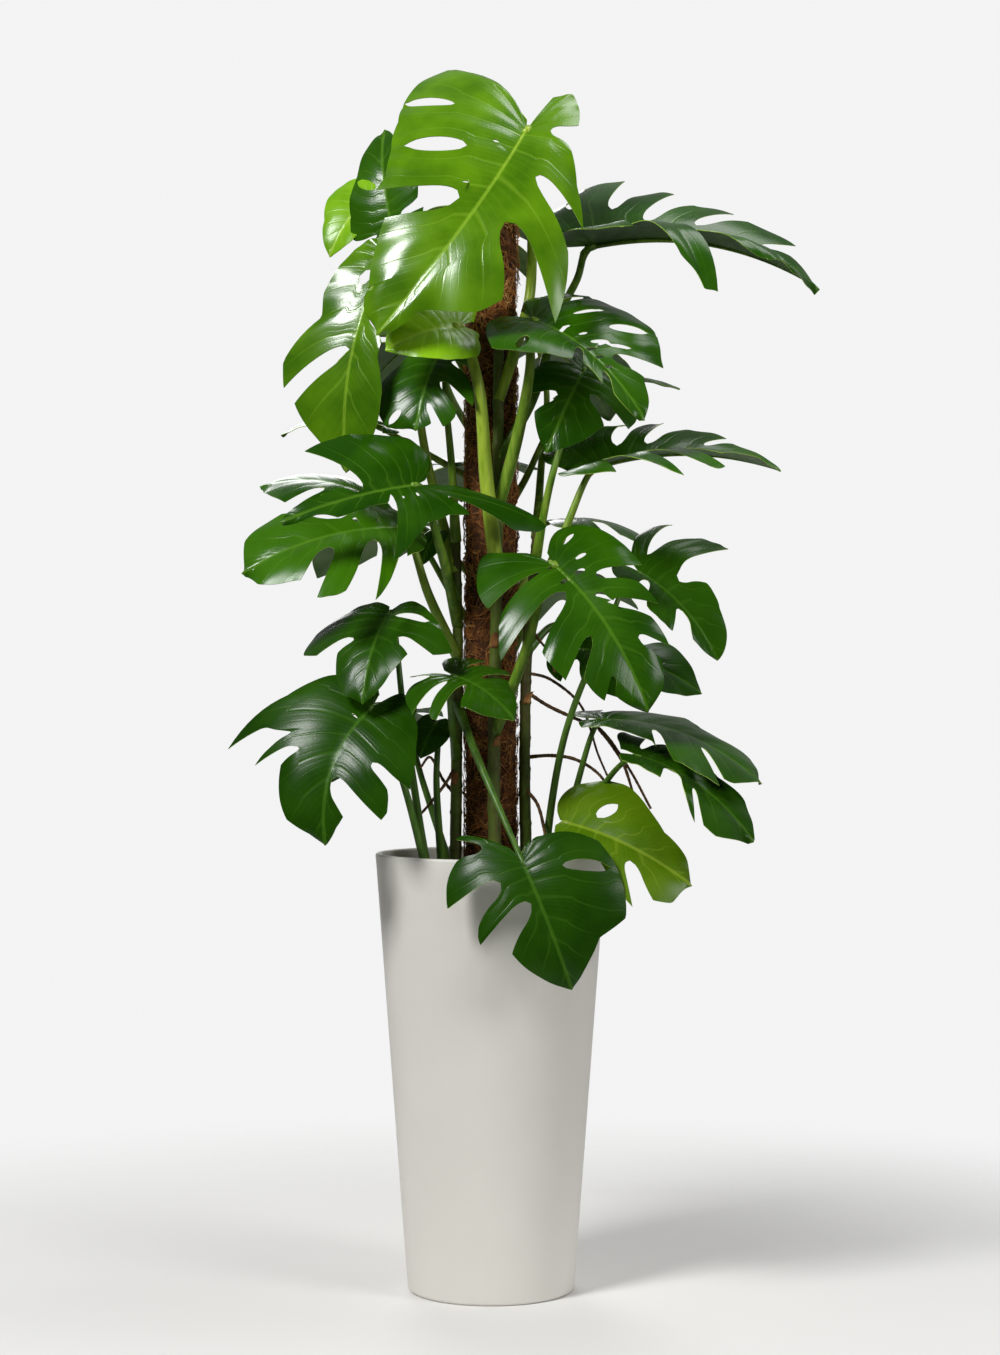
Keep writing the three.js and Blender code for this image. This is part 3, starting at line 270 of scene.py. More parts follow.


# Leaves, as they were measured for the solids: name, age, the stem or soil they start from and where, the way of
# the stalk, the junction of stalk and blade, the tip, and the way the upper side looks. Pairs are (left half, right
# half), seen along the midrib with the upper side up. A slit is outline share:root:half width:end. Reach stretches
# the veins at outline shares, and droop lowers their ends. A hole is half, outline share, share of the vein, length
# and width. Tone is how light or dark the whole leaf is coloured, from darker (under 0) to lighter: partly the
# leaf's own colour, and partly painted shade and painted light for where it hangs among the others. The newest have
# a fresh skin, which adds a painted glow of light coming through them.
LEAVES = [
    Leaf("crown", "young", ("front", 1150), [(32, -44, 1220), (50, -10, 1290), (52, -42, 1400)], (45, -75, 1490),
         (-142, -165, 1218), (-0.1, -0.93, 0.3), stalk=1.5, sway=0.06, fold=(8, 8), curl=(32, 20),
         wide=(0.92, 1.05), lobe=(2, 1),
         slits=["31:50:3:130 55:33:2.5:110 69:32:3:130",
                "33.5:60:1.6:93 53:38:3:80 71:22:3.5:100 89.5:60:0.4:120"],
         reach=["0:66 8:57 15:52 22:48 30:44 40:54 46:61 54:84 58:100 66:122 72:104 78:100 84:84 91:60 95:76 "
                "100:100",
                "0:30 8:42 13:95 19:130 26:120 34:105 42:92 54:82 64:77 72:86 80:88 89:93 90:120 95:125 100:100"],
         holes=[(1, 0.48, 0.15, 8, 4), (1, 0.66, 0.16, 34, 3)]),
    Leaf("upper_left", "mid", ("back", 1150), [(-60, 30, 1240), (-120, 10, 1340)], (-130, -5, 1385),
         (-140, 45, 1515), (-0.4, -0.9, 0.1), wide=(1.2, 1), tone_and_shade=0.05,
         slits=["24:40:3:130 67:25:3:90", "40:35:3:130 70:35:3:130"],
         reach=["0:80 22:90 30:95 45:70 56:65 66:60 70:60 90:80 100:100", "0:70 50:75 90:85 100:100"]),
    Leaf("upper_left_pale", "young", ("back", 1180), [(-60, 48, 1250), (-126, 54, 1366)], (-160, 52, 1425),
         (-212, 34, 1345), (-0.5, -0.8, 0.3), fold=(15, 25), lobe=(1.3, 1.3), skin="fresh_backlit",
         reach=["0:100 30:80 60:80 100:100", "0:100 30:115 70:85 100:100"]),
    Leaf("hanging_left", "young", ("left", 930), [(-84, 8, 1080), (-108, -30, 1240)], (-135, -52, 1330),
         (-185, -58, 1055), (-0.35, -0.9, 0.3), stalk=1.15, sway=-0.03, tone_and_shade=-0.15,
         slits=["62:20:3:130", "48:10:4:30 75:5:2.5:100"],
         reach=["0:40 60:35 70:42 76:65 86:85 100:100",
                "0:35 34:38 44:40 52:45 60:42 64:65 67:82 74:88 77:98 84:95 90:88 97:75 100:100"]),
    Leaf("lime", "young", ("front", 930), [(-6, -68, 1050), (-16, -92, 1165)], (-43, -94, 1238), (-132, -134, 1203),
         (0, -0.85, 0.5), stalk=1.8, fold=(15, 15), wide=(1, 1.25), lobe=(1.2, 1.6), tone_and_shade=0.3, skin="fresh_backlit",
         reach=["0:90 20:80 33:120 50:105 100:100", "0:130 20:130 50:95 100:100"]),
    Leaf("inner_left", "mid", ("left", 970), [(-50, -42, 1060), (-58, -45, 1150)], (-65, -50, 1210),
         (-95, -100, 1105), (-0.2, -0.8, 0.5), tone_and_shade=-0.1,
         slits=["50:40:3:130 70:30:3:130 86:30:2:120", "40:40:3:120 84:60:2:85"],
         reach=["0:25 25:50 50:95 64:125 76:140 90:120 100:100", "0:70 50:80 62:130 84:160 92:140 100:100"]),
    Leaf("high_right", "mid", ("front", 1075), [(52, -32, 1150), (90, 14, 1270), (112, -2, 1312)], (130, -30, 1350),
         (425, -20, 1295), (0, -0.1, 1), stalk=1.4, fold=(42, 30), curl=(22, 40), wide=(0.9, 0.8), tone_and_shade=-0.2,
         slits=["33:60:2:85 45:45:2:150 57:30:2.5:150 70:35:2:140 85:50:1.2:130",
                "48:30:4:140 68:25:5:150 84:40:3:140"],
         reach=["0:90 28:120 38:150 50:110 62:90 70:100 82:100 100:100",
                "0:90 40:90 55:120 68:130 80:100 100:100"],
         droop=["0:0 100:0", "0:0 50:5 58:30 68:28 76:8 100:0"]),
    Leaf("fenestrated", "mid", ("front", 1010), [(36, -70, 1110), (50, -94, 1190)], (55, -100, 1245),
         (190, -190, 1110), (0.25, -0.6, 0.75), stalk=1.6, fold=(16, 10), curl=(18, 25), tone_and_shade=0.05,
         slits=["33:50:2:80 62:50:2.5:80 79:30:3:120", "50:60:2:85 72:20:2:120 85:30:2:120"],
         reach=["0:100 22:115 34:110 60:115 76:105 84:85 100:100",
                "0:50 12:55 25:80 40:100 50:85 60:60 70:40 80:45 90:80 100:100"],
         holes=[(0, 0.56, 0.12, 14, 6), (0, 0.64, 0.2, 12, 5), (0, 0.7, 0.3, 24, 8), (0, 0.72, 0.52, 34, 7),
                (0, 0.74, 0.12, 12, 5), (0, 0.79, 0.1, 11, 5), (0, 0.48, 0.6, 44, 9), (0, 0.84, 0.12, 12, 5)]),
    Leaf("behind_fenestrated", "mid", ("back", 985), [(42, 50, 1050), (74, 34, 1115)], (115, 42, 1175),
         (250, 62, 1175), (0, -0.1, 1), fold=(5, 5), slits=TWO_CUTS),
    Leaf("under_fenestrated", "mid", ("right", 930), [(78, -38, 1050)], (120, -32, 1190), (70, -92, 1078),
         (0.1, -0.85, 0.4), wide=(1.1, 0.9), tone_and_shade=-0.1,
         slits=["30:35:5:130 62:30:4:130", "35:35:4:130 70:35:4:130"],
         reach=["0:100 20:120 45:125 70:100 100:100", "0:90 40:100 100:100"]),
    Leaf("mid_right", "mid", ("right", 880), [(90, -30, 970)], (135, -30, 1065), (375, -20, 1060), (0, -0.05, 1),
         stalk=1.2, arch=0.08, fold=(40, 14), curl=(30, 35), tone_and_shade=0.1,
         slits=["34:60:2:90 50:25:3:150 62:30:2.5:150 80:40:1.5:130", "42:30:4:150 57:35:3:150 68:40:2:140"],
         reach=["0:90 30:130 40:130 48:120 56:90 70:70 100:100", "0:80 38:120 54:135 62:140 70:110 100:100"]),
    Leaf("edge_right", "mid", ("back", 860), [(48, 50, 930)], (75, 65, 1000), (210, 50, 972), (0, -0.1, 1),
         fold=(5, 5), tone_and_shade=0.3, slits=TWO_CUTS,
         reach=["0:100 40:70 76:100 100:100", "0:100 60:100 92:150 100:100"]),
    Leaf("big_front_right", "mid", ("front", 720), [(45, -75, 830)], (80, -115, 935), (195, -175, 750),
         (0.1, -0.9, 0.35), stalk=1.4, sway=0.035, curl=(30, 25),
         slits=["25:40:2:50 55:35:2.5:130 68:30:2:120 80:50:2:130",
                "34:20:2:130 55:15:4.5:120 74:35:2:120 86:60:1.2:120"],
         reach=["0:60 14:80 36:85 56:72 70:75 80:90 90:105 100:100",
                "0:110 8:145 20:120 32:100 40:110 50:115 56:100 70:95 76:100 86:100 100:100"],
         holes=[(0, 0.42, 0.3, 16, 6), (0, 0.5, 0.15, 15, 7), (1, 0.5, 0.08, 10, 6), (1, 0.33, 0.08, 9, 5),
                (0, 0.64, 0.16, 15, 6), (0, 0.68, 0.3, 26, 6)]),
    Leaf("right", "old", ("soil", (60, -34)), [(95, -40, 720), (150, -45, 860)], (190, -30, 930), (290, -60, 815),
         (0.3, -0.6, 0.7), twist=20, fold=(35, 10), wide=(1.6, 0.9), tone_and_shade=0.3,
         slits=["30:20:5:150 60:35:6:130", "50:15:4:130 78:20:5:120"],
         reach=["0:80 26:165 36:100 48:100 57:90 62:50 80:60 100:100", "0:70 60:80 80:70 100:100"]),
    Leaf("low_right_upper", "old", ("soil", (80, -25)), [(112, -38, 660)], (145, -50, 740), (340, -130, 660),
         (0.2, -0.3, 0.9), fold=(5, 5), lobe=(1.2, 1), tone_and_shade=0.25,
         slits=["28:40:3:130", "66:30:2:120 82:30:1.2:110"],
         reach=["0:100 10:110 20:110 38:100 70:55 84:100 100:100", "0:50 50:40 62:50 68:105 86:130 100:100"]),
    Leaf("low_right_lower", "old", ("soil", (100, -45)), [(136, -50, 640)], (185, -120, 695), (325, -180, 590),
         (0.4, -0.5, 0.8), tone_and_shade=0.1,
         slits=["30:30:4:140", "63:10:5:130 74:25:1.2:150"],
         reach=["0:100 16:130 24:80 70:55 80:85 100:100", "0:40 60:40 68:60 73:110 80:130 100:100"]),
    Leaf("yellowing", "yellowing", ("soil", (80, -85)), [(86, -96, 580)], (95, -105, 610), (250, -165, 535),
         (0.2, -0.85, 0.5),
         slits=["55:25:4:50", "78:30:3:120"],
         reach=["0:40 10:55 24:100 36:105 62:80 76:72 88:95 100:100", "0:20 40:30 64:50 76:125 88:140 100:100"]),
    Leaf("front_low", "old", ("left", 760), [(-20, -100, 700), (20, -160, 610)], (40, -185, 565), (100, -200, 410),
         (0, -0.98, 0.15), sway=0.01, tone_and_shade=-0.05,
         slits=["48:40:3:85", "18:55:3:120 44:35:6:130 64:15:5:120"],
         reach=["0:50 20:70 36:130 52:130 66:135 75:100 90:95 100:100",
                "0:100 12:165 34:140 50:115 64:100 72:100 100:100"],
         holes=[(0, 0.16, 0.5, 9, 3)]),
    Leaf("low_left", "old", ("soil", (-70, -90)), [(-110, -110, 660)], (-150, -120, 755), (-205, -165, 585),
         (-0.1, -0.85, 0.5), sway=-0.1, tone_and_shade=-0.05,
         slits=["62:50:2.5:140 82:8:4.5:100", "57.5:65:2:130 65:60:1.5:130"],
         reach=["0:130 10:100 22:80 40:100 56:110 61:120 64:110 74:130 81:130 84:95 92:85 100:100",
                "0:70 30:85 44:110 50:140 57:175 59:115 64:120 66:100 72:105 82:115 92:100 100:100"],
         holes=[(1, 0.48, 0.1, 8, 4), (1, 0.32, 0.4, 7, 3)]),
    Leaf("mid_low_left", "old", ("soil", (-75, -50)), [(-110, -70, 740)], (-130, -75, 875), (-160, -148, 760),
         (-0.3, -0.7, 0.6),
         slits=["42:15:4:70 62:50:3:120", "62:50:3:120"],
         reach=["0:60 30:90 46:130 52:150 62:100 78:90 100:100",
                "0:70 20:80 30:100 40:150 52:155 64:90 88:120 100:100"]),
    Leaf("small_centre", "old", ("left", 690), [(-50, -80, 740)], (-45, -115, 795), (30, -165, 740),
         (0, -0.5, 0.85), wide=(1.2, 1.5), lobe=(1.5, 1.8), tone_and_shade=0.3,
         slits=["35:40:3:130 62:30:3:130", "16:40:5:150 42:20:5:130 62:15:4:130"],
         reach=["0:100 6:130 50:95 74:80 100:100", "0:100 12:120 24:120 50:110 70:80 100:100"],
         holes=[(1, 0.64, 0.3, 8, 3)]),
    Leaf("small_dark", "old", ("soil", (-60, -20)), [(-70, -40, 660)], (-71, -44, 735), (-90, -60, 690),
         (-0.2, -0.9, 0.3)),
    Leaf("star", "mid", ("left", 862), [(-62, -80, 950)], (-95, -125, 1035), (-260, -180, 985), (0, -0.86, 0.51),
         stalk=1.3, arch=0.06, lobe=(1.6, 1), tone_and_shade=-0.3,
         slits=["18.5:35:1.2:120 56:30:1.5:130", "70:14:4:100"],
         reach=["0:150 4:180 9:210 13:230 15:210 17:170 20:115 26:85 36:75 45:90 54:110 57:30 65:28 79:50 89:35 "
                "100:100",
                "0:60 12:85 25:110 40:110 55:110 66:118 73:35 86:40 100:100"],
         holes=[(0, 0.38, 0.2, 7, 4), (0, 0.5, 0.2, 5, 3)]),
    Leaf("mid_left", "mid", ("left", 820), [(-80, -40, 900)], (-115, -60, 985), (-315, -100, 925), (0, -0.7, 0.7),
         stalk=1.3, tone_and_shade=0.6,
         slits=["40:20:2:120 56:20:4:120 73:30:3.5:110", "30:30:6:130 65:30:6:130"],
         reach=["0:50 40:60 46:95 54:120 62:120 72:105 78:100 90:120 100:100", "0:80 60:80 86:125 100:100"],
         holes=[(1, 0.6, 0.2, 14, 5), (1, 0.5, 0.12, 9, 4)]),
    Leaf("far_left", "mid", ("back", 900), [(-80, 30, 980)], (-155, 25, 1030), (-305, 50, 1045), (0, -0.3, 0.95),
         fold=(5, 5),
         slits=["35:30:4:130 65:35:3:130", "50:35:4:130"],
         reach=["0:80 66:140 88:120 100:100", "0:50 60:70 76:140 100:100"]),
    Leaf("small_grey", "mid", ("left", 893), [(-60, -22, 940)], (-70, -24, 978), (-88, -36, 938), (-0.3, -0.8, 0.5),
         wide=(0.8, 0.8), tone_and_shade=-0.1),
    Leaf("back_centre", "mid", ("back", 930), [(-14, 78, 1010)], (-28, 92, 1080), (-40, 275, 1040), (0, 0.15, 1),
         slits=THREE_CUTS),
    Leaf("back_left_tip", "mid", ("back", 1040), [(-70, 40, 1080)], (-150, 25, 1125), (-275, 20, 1110),
         (0, -0.2, 1), slits=TWO_CUTS),
    Leaf("behind_front_right", "old", ("right", 830), [(85, 15, 862)], (120, 25, 830), (275, 12, 772),
         (0, -0.6, 0.8), slits=TWO_CUTS),
    Leaf("back_high", "young", ("back", 1120), [(0, 72, 1230)], (-10, 105, 1400), (-60, 265, 1290), (0, 0.6, 0.8),
         slits=THREE_CUTS),
    Leaf("back_left_high", "mid", ("back", 1080), [(-50, 80, 1160)], (-90, 120, 1250), (-195, 230, 1150),
         (-0.3, 0.5, 0.8), slits=THREE_CUTS),
    Leaf("back_right_high", "mid", ("right", 975), [(66, 62, 1070), (74, 90, 1170)], (70, 120, 1240),
         (165, 245, 1150), (0.3, 0.5, 0.8), slits=THREE_CUTS),
    Leaf("back_left_mid", "mid", ("back", 820), [(-50, 75, 900)], (-115, 110, 1000), (-240, 205, 930),
         (-0.3, 0.5, 0.8), slits=THREE_CUTS),
    Leaf("back_right_mid", "mid", ("back", 760), [(40, 80, 850)], (80, 115, 930), (165, 235, 820), (0.3, 0.5, 0.8),
         slits=THREE_CUTS),
    Leaf("back_left_low", "old", ("soil", (-40, 80)), [(-90, 100, 650)], (-125, 110, 745), (-220, 195, 650),
         (-0.3, 0.5, 0.8), slits=THREE_CUTS),
]

# Aerial roots: name, the stem and height they grow from, radius, run and branch
AERIAL_ROOTS = [
    ("right_long", ("right", 776), 2.6,
     [(74, 2, 757), (115, 10, 738), (141, 14, 727), (180, 18, 675), (209, 22, 622)],
     [(141, 14, 727), (158, 12, 705), (172, 6, 682), (188, 0, 632)]),
    ("right_inner", ("right", 800), 2.2, [(80, 40, 790), (118, 48, 757), (141, 44, 692), (153, 40, 664)], []),
    ("right_low", ("right", 690), 2.6, [(80, 6, 692), (110, 0, 687), (140, -12, 668), (158, -20, 640)], []),
    ("right_upper", ("right", 870), 2, [(58, -30, 848), (74, -36, 826), (82, -30, 800)], []),
    ("right_foot", ("right", 650), 2.4, [(60, -36, 630), (68, -54, 600), (73, -66, 560), (76, -70, 520)], []),
    ("left_low", ("left", 680), 2.4, [(-60, -26, 655), (-84, -34, 625), (-100, -36, 608)], []),
    ("left_cross", ("left", 640), 2.4, [(-62, 2, 660), (-80, 6, 690), (-92, 10, 676)], []),
]

# The blade's outline of one half, as shares of the midrib, and where its side veins leave the midrib
OUTLINE_ALONG = (-0.15, -0.22, -0.12, 0.07, 0.28, 0.5, 0.71, 0.88, 1.0)
OUTLINE_ACROSS = (0.05, 0.2, 0.37, 0.46, 0.49, 0.44, 0.32, 0.16, 0.0)
VEIN_ROOTS = (0, 0, 0, 0.03, 0.12, 0.26, 0.44, 0.66, 1)
VEIN_STEP = 0.105
COLUMNS_PER_VEIN = 8
MIDRIB_STEPS = 36
INNER_ROWS = 5
OUTER_ROWS = 13
BLADE_THICKNESS = 1.0
# How much a side vein bows, and how far a finger's near corner is rounded off and its far one drawn out
VEIN_BOW = 0.15
ROUNDED_CORNER = 0.12
DRAWN_CORNER = 0.06
# Relief, as shares of the midrib: quilting between the veins, waves along the edge, and a finger's own droop
QUILTING = 0.0026
LONG_WAVE = 0.008
SHORT_WAVE = 0.003
MOST_DROOP = 0.03


def knot_value(knots, s):
    """Catmull-Rom value of evenly spaced knots at shares s."""
    knots = np.asarray(knots, float)
    last = len(knots) - 1
    x = np.clip(s, 0, 1) * last
    i = np.minimum(np.floor(x).astype(int), last - 1)
    f = x - i
    padded = np.concatenate(([2 * knots[0] - knots[1]], knots, [2 * knots[-1] - knots[-2]]))
    a, b, c, d = padded[i], padded[i + 1], padded[i + 2], padded[i + 3]
    square = (2 * a - 5 * b + 4 * c - d) * f ** 2
    cube = (3 * b - a - 3 * c + d) * f ** 3
    return 0.5 * (2 * b + (c - a) * f + square + cube)


def vein_root(s):
    return np.clip(knot_value(VEIN_ROOTS, s), 0, 1)


def vein_point(leaf, half, s, t, reach):
    """Points t of the way along the veins that end at outline shares s, on the flat unit blade."""
    root = vein_root(s)
    along = knot_value(OUTLINE_ALONG, s)
    du = (np.where(along < 0, along * leaf["lobe"][half], along) - root) * reach
    dv = knot_value(OUTLINE_ACROSS, s) * leaf["wide"][half] * reach
    bow = VEIN_BOW * np.hypot(du, dv) * (1 - 0.4 * s)
    middle = 2 * t * (1 - t)
    return root + middle * (0.5 * du - bow) + t * t * du, middle * 0.5 * dv + t * t * dv


def slit_half_width(slit, t):
    """Half width of a slit at t. An end under 1 closes it as a hole, and one over 1 widens its mouth."""
    if slit is None:
        return 0 * t
    _, root, width, end = slit
    x = (t - root) / (1 - root)
    if end < 1:
        open_part = np.sqrt(np.clip(1 - (2 * x / end - 1) ** 2, 0, 1))
        return np.where((x <= 1e-6) | (x >= end), 0.0, width * open_part)
    rounded = 0.35
    start = np.sqrt(np.clip(1 - (1 - np.clip(x, 0, 1) / rounded) ** 2, 0, 1))
    mouth = 1 + (end - 1) * (np.clip(x - rounded, 0, None) / (1 - rounded)) ** 2
    return np.where(x <= 1e-6, 0.0, width * np.where(x < rounded, start, mouth))


def unit(v):
    return v / np.linalg.norm(v, axis=-1, keepdims=True)


def leaf_frame(leaf):
    """Junction, length and the leaf's three directions: along it, out of its face and to its left."""
    junction = np.array(leaf["junction"], float)
    chord = np.array(leaf["tip"], float) - junction
    length = np.linalg.norm(chord)
    along = chord / length
    face = np.array(leaf["face"], float)
    face = unit(face - along * face.dot(along))
    return junction, length, along, face, np.cross(face, along)


def place_on_leaf(leaf, u, v, half, lift):
    """Points of the curved blade: u along the midrib and v out from it, both as shares of its length."""
    junction, length, along, face, left = leaf_frame(leaf)
    arch, sway = leaf["arch"], leaf["sway"]
    u = np.asarray(u, float)[:, None]
    v = np.asarray(v, float)[:, None]
    inside = np.maximum(u, 0)
    rise = np.where(u >= 0, 4 * inside * (1 - inside), 4 * u)
    centre = junction + along * u * length + (face * arch + left * sway) * length * rise
    slope = 4 * (1 - 2 * inside)
    tangent = unit(along + face * arch * slope + left * sway * slope)
    up = unit(face - tangent * (tangent @ face)[:, None])
    side = np.cross(up, tangent)
    turn = math.radians(leaf["twist"]) * (u - 0.3)
    across = side * np.cos(turn) + up * np.sin(turn)
    out = up * np.cos(turn) - side * np.sin(turn)
    fold = math.radians(leaf["fold"][half])
    curl = math.radians(leaf["curl"][half]) / (0.5 * length)
    x = v * length
    flat = (math.sin(fold) - np.sin(fold - curl * x)) / curl
    high = (np.cos(fold - curl * x) - math.cos(fold)) / curl
    centre = centre + across * (flat if half == 0 else -flat)
    return centre + out * (high + np.asarray(lift, float).reshape(-1, 1))


class BladeHalf:
    """The grid of one half of a blade: a column of points for each vein, split along the slits. Its points
    are numbered after the midrib's and have outline share, share of the vein, share past the slits' roots,
    run across the veins, stretch, and number of the finger."""

    def __init__(self, leaf, half, first):
        self.leaf = leaf
        self.half = half
        self.first = first
        self.points = []
        self.faces = []
        self.inner_edge = []
        self.lay_grid()
        self.join_midrib()

    def lay_grid(self):
        slits = self.leaf["slits"][self.half]
        edges = [0, *(slit[0] for slit in slits), 1]
        roots = [slit[1] for slit in slits] or [0.6]
        depths = [roots[0], *(slit[1] for slit in slits), roots[-1]]
        rows = np.arange(1, INNER_ROWS + OUTER_ROWS + 1)
        out = np.clip((rows - INNER_ROWS) / OUTER_ROWS, 0, 1)
        inner = np.minimum(rows, INNER_ROWS) / INNER_ROWS
        previous = None
        steps = 0
        for finger, (start, end) in enumerate(zip(edges, edges[1:])):
            before = slits[finger - 1] if finger > 0 else None
            after = slits[finger] if finger < len(slits) else None
            veins = max(1, round((end - start) / VEIN_STEP))
            columns = veins * COLUMNS_PER_VEIN
            round_near = ROUNDED_CORNER if before and before[3] >= 1 else 0
            draw_far = DRAWN_CORNER if after and after[3] >= 1 else 0
            for j in range(columns + 1):
                f = j / columns
                root = start + (end - start) * f
                depth = np.interp(root, edges, depths)
                t = depth * inner + (1 - depth) * out
                gap_before, gap_after = slit_half_width(before, t), slit_half_width(after, t)
                s = start + gap_before + (end - gap_after - start - gap_before) * f
                stretch = np.interp(s, *zip(*self.leaf["reach"][self.half]))
                stretch = stretch * (1 + out * (draw_far * f ** 2 - round_near * (1 - f) ** 2))
                run = steps + f * veins
                column = []
                for row in range(len(t)):
                    if j == 0 and previous and gap_before[row] < 1e-6:
                        column.append(previous[row])
                    elif not after and j == columns:
                        column.append(MIDRIB_STEPS)
                    else:
                        column.append(self.first + len(self.points))
                        self.points.append((s[row], t[row], out[row], run, stretch[row], finger))
                if j > 0:
                    for row in range(len(t) - 1):
                        self.add_face(previous[row], column[row], column[row + 1], previous[row + 1])
                if not self.inner_edge or self.inner_edge[-1][0] != column[0]:
                    self.inner_edge.append((column[0], float(vein_root(root)), run))
                previous = column
            steps += veins

    def add_face(self, *corners):
        kept = [c for i, c in enumerate(corners) if c not in corners[:i]]
        if len(kept) > 2:
            self.faces.append(kept if self.half == 0 else kept[::-1])

    def join_midrib(self):
        edge = self.inner_edge
        i = k = 0
        while i < MIDRIB_STEPS or k < len(edge) - 1:
            if i < MIDRIB_STEPS and (k == len(edge) - 1 or (i + 0.5) / MIDRIB_STEPS <= edge[k + 1][1]):
                self.add_face(i, i + 1, edge[k][0])
                i += 1
            else:
                self.add_face(i, edge[k + 1][0], edge[k][0])
                k += 1

    def pierce(self, u, v, length):
        """Cuts the small holes near the midrib: faces inside go, and the points round them close in on it."""
        for half, s, t, long, across in self.leaf["holes"]:
            if half != self.half:
                continue
            ends = vein_point(self.leaf, half, np.array([s, s]), np.array([t - 0.02, t + 0.02]), 1.0)
            ends = np.array(ends)
            middle = ends.mean(axis=1) * length
            axis = unit(ends[:, 1] - ends[:, 0])
            dx, dy = u * length - middle[0], v * length - middle[1]
            a = (dx * axis[0] + dy * axis[1]) / (0.5 * long)
            b = (dy * axis[0] - dx * axis[1]) / (0.5 * across)
            r = np.hypot(a, b)
            inside = r < 1
            inside[np.argmin(r)] = True
            gone = set((np.nonzero(inside)[0] + self.first).tolist())
            cut = [face for face in self.faces if gone.intersection(face)]
            self.faces = [face for face in self.faces if not gone.intersection(face)]
            rim = {c for face in cut for c in face if c not in gone and c >= self.first}
            i = np.array(sorted(rim)) - self.first
            along_part, across_part = a[i] / r[i] * 0.5 * long, b[i] / r[i] * 0.5 * across
            u[i] = (middle[0] + along_part * axis[0] - across_part * axis[1]) / length
            v[i] = (middle[1] + along_part * axis[1] + across_part * axis[0]) / length


def blade_mesh(leaf, seed):
    """A leaf's closed blade, with four numbers at each corner for its veins: the run across and along
    them, their distance apart, and the distance from the midrib."""
    rng = random.Random(seed)
    length = leaf_frame(leaf)[1]
    first = MIDRIB_STEPS + 1
    shares = np.linspace(0, 1, first)
    points = [place_on_leaf(leaf, shares, 0 * shares, 0, 0)]
    faces, veins = [], []
    for half in (0, 1):
        sheet = BladeHalf(leaf, half, first)
        s, t, out, run, stretch, finger = np.array(sheet.points).T
        u, v = vein_point(leaf, half, s, t, stretch)
        sheet.pierce(u, v, length)
        valley = np.abs(run % 1 - 0.5) * 2
        puff = QUILTING * length * np.sin(valley * math.pi / 2) ** 2 * np.sin(math.pi * t ** 0.7)
        phase = rng.uniform(0, 6.28)
        wave = LONG_WAVE * length * out ** 2 * np.sin(run * 2.1 + phase)
        wave += SHORT_WAVE * length * out ** 2 * np.sin(run * 5.3 + 2 * phase)
        droops = np.array([rng.uniform(0.0, MOST_DROOP) for _ in range(40)])
        droop = droops[finger.astype(int)] * length * out ** 2
        droop *= np.minimum(stretch, 1) ** 2
        sag = np.interp(s, *zip(*leaf["droop"][half])) * length * out ** 2
        points.append(place_on_leaf(leaf, u, v, half, puff + wave - droop - sag))
        maps = np.zeros((first + len(u), 4))
        room = np.clip(VEIN_STEP * length * (0.25 + 1.1 * t), 4, None)
        maps[first:] = np.stack([run, t, room, np.abs(v) * length], axis=1)
        _, roots, runs = zip(*sheet.inner_edge)
        maps[:MIDRIB_STEPS + 1, 0] = np.interp(shares, roots, runs)
        maps[:MIDRIB_STEPS + 1, 2] = VEIN_STEP * length * 0.25
        faces += sheet.faces
        veins += [maps[face] for face in sheet.faces]
        first += len(u)
    return close_blade(np.concatenate(points), faces, veins)


def close_blade(points, faces, veins):
    """Gives the open sheet its thickness: an upper side, a lower side and a rim round every edge."""
    normals = np.zeros_like(points)
    for face in faces:
        a, b, c = points[face[0]], points[face[1]], points[face[-1]]
        normals[face] += np.cross(b - a, c - a)
    lengths = np.linalg.norm(normals, axis=1, keepdims=True)
    normals /= np.where(lengths > 0, lengths, 1)
    count = len(points)
    both = np.concatenate([points + normals * BLADE_THICKNESS / 2, points - normals * BLADE_THICKNESS / 2])
    edges = {}
    for n, face in enumerate(faces):
        for i, p in enumerate(face):
            k = (i + 1) % len(face)
            if (face[k], p) in edges:
                del edges[(face[k], p)]
            else:
                edges[(p, face[k])] = (n, i, k)
    closed = faces + [[c + count for c in reversed(face)] for face in faces]
    veins = veins + [corners[::-1] for corners in veins]
    skins = [0] * len(faces) + [1] * len(faces) + [2] * len(edges)
    for (p, q), (n, i, k) in edges.items():
        closed.append([p, p + count, q + count, q])
        veins.append(veins[n][[i, i, k, k]])
    sharp = set(edges) | {(p + count, q + count) for p, q in edges}
    return both, closed, skins, veins, sharp


# Stalks, stems and roots are tubes along smooth curves
def smooth_curve(points, count):
    """Evenly spaced points of the centripetal curve through the given points."""
    points = [np.array(p, float) for p in points]
    points = [2 * points[0] - points[1], *points, 2 * points[-1] - points[-2]]
    line = []
    for p0, p1, p2, p3 in zip(points, points[1:], points[2:], points[3:]):
        d0, d1, d2 = (max(np.linalg.norm(b - a), 1e-4) ** 0.5 for a, b in ((p0, p1), (p1, p2), (p2, p3)))
        m1 = ((p1 - p0) / d0 - (p2 - p0) / (d0 + d1) + (p2 - p1) / d1) * d1
        m2 = ((p2 - p1) / d1 - (p3 - p1) / (d1 + d2) + (p3 - p2) / d2) * d1
        for x in np.linspace(0, 1, 40, endpoint=False):
            line.append(p1 + m1 * x + (3 * (p2 - p1) - 2 * m1 - m2) * x ** 2
                        + (2 * (p1 - p2) + m1 + m2) * x ** 3)
    line = np.array([*line, points[-2]])
    reach = np.concatenate([[0], np.cumsum(np.linalg.norm(np.diff(line, axis=0), axis=1))])
    steps = np.linspace(0, reach[-1], count)
    return np.stack([np.interp(steps, reach, line[:, k]) for k in range(3)], axis=1)


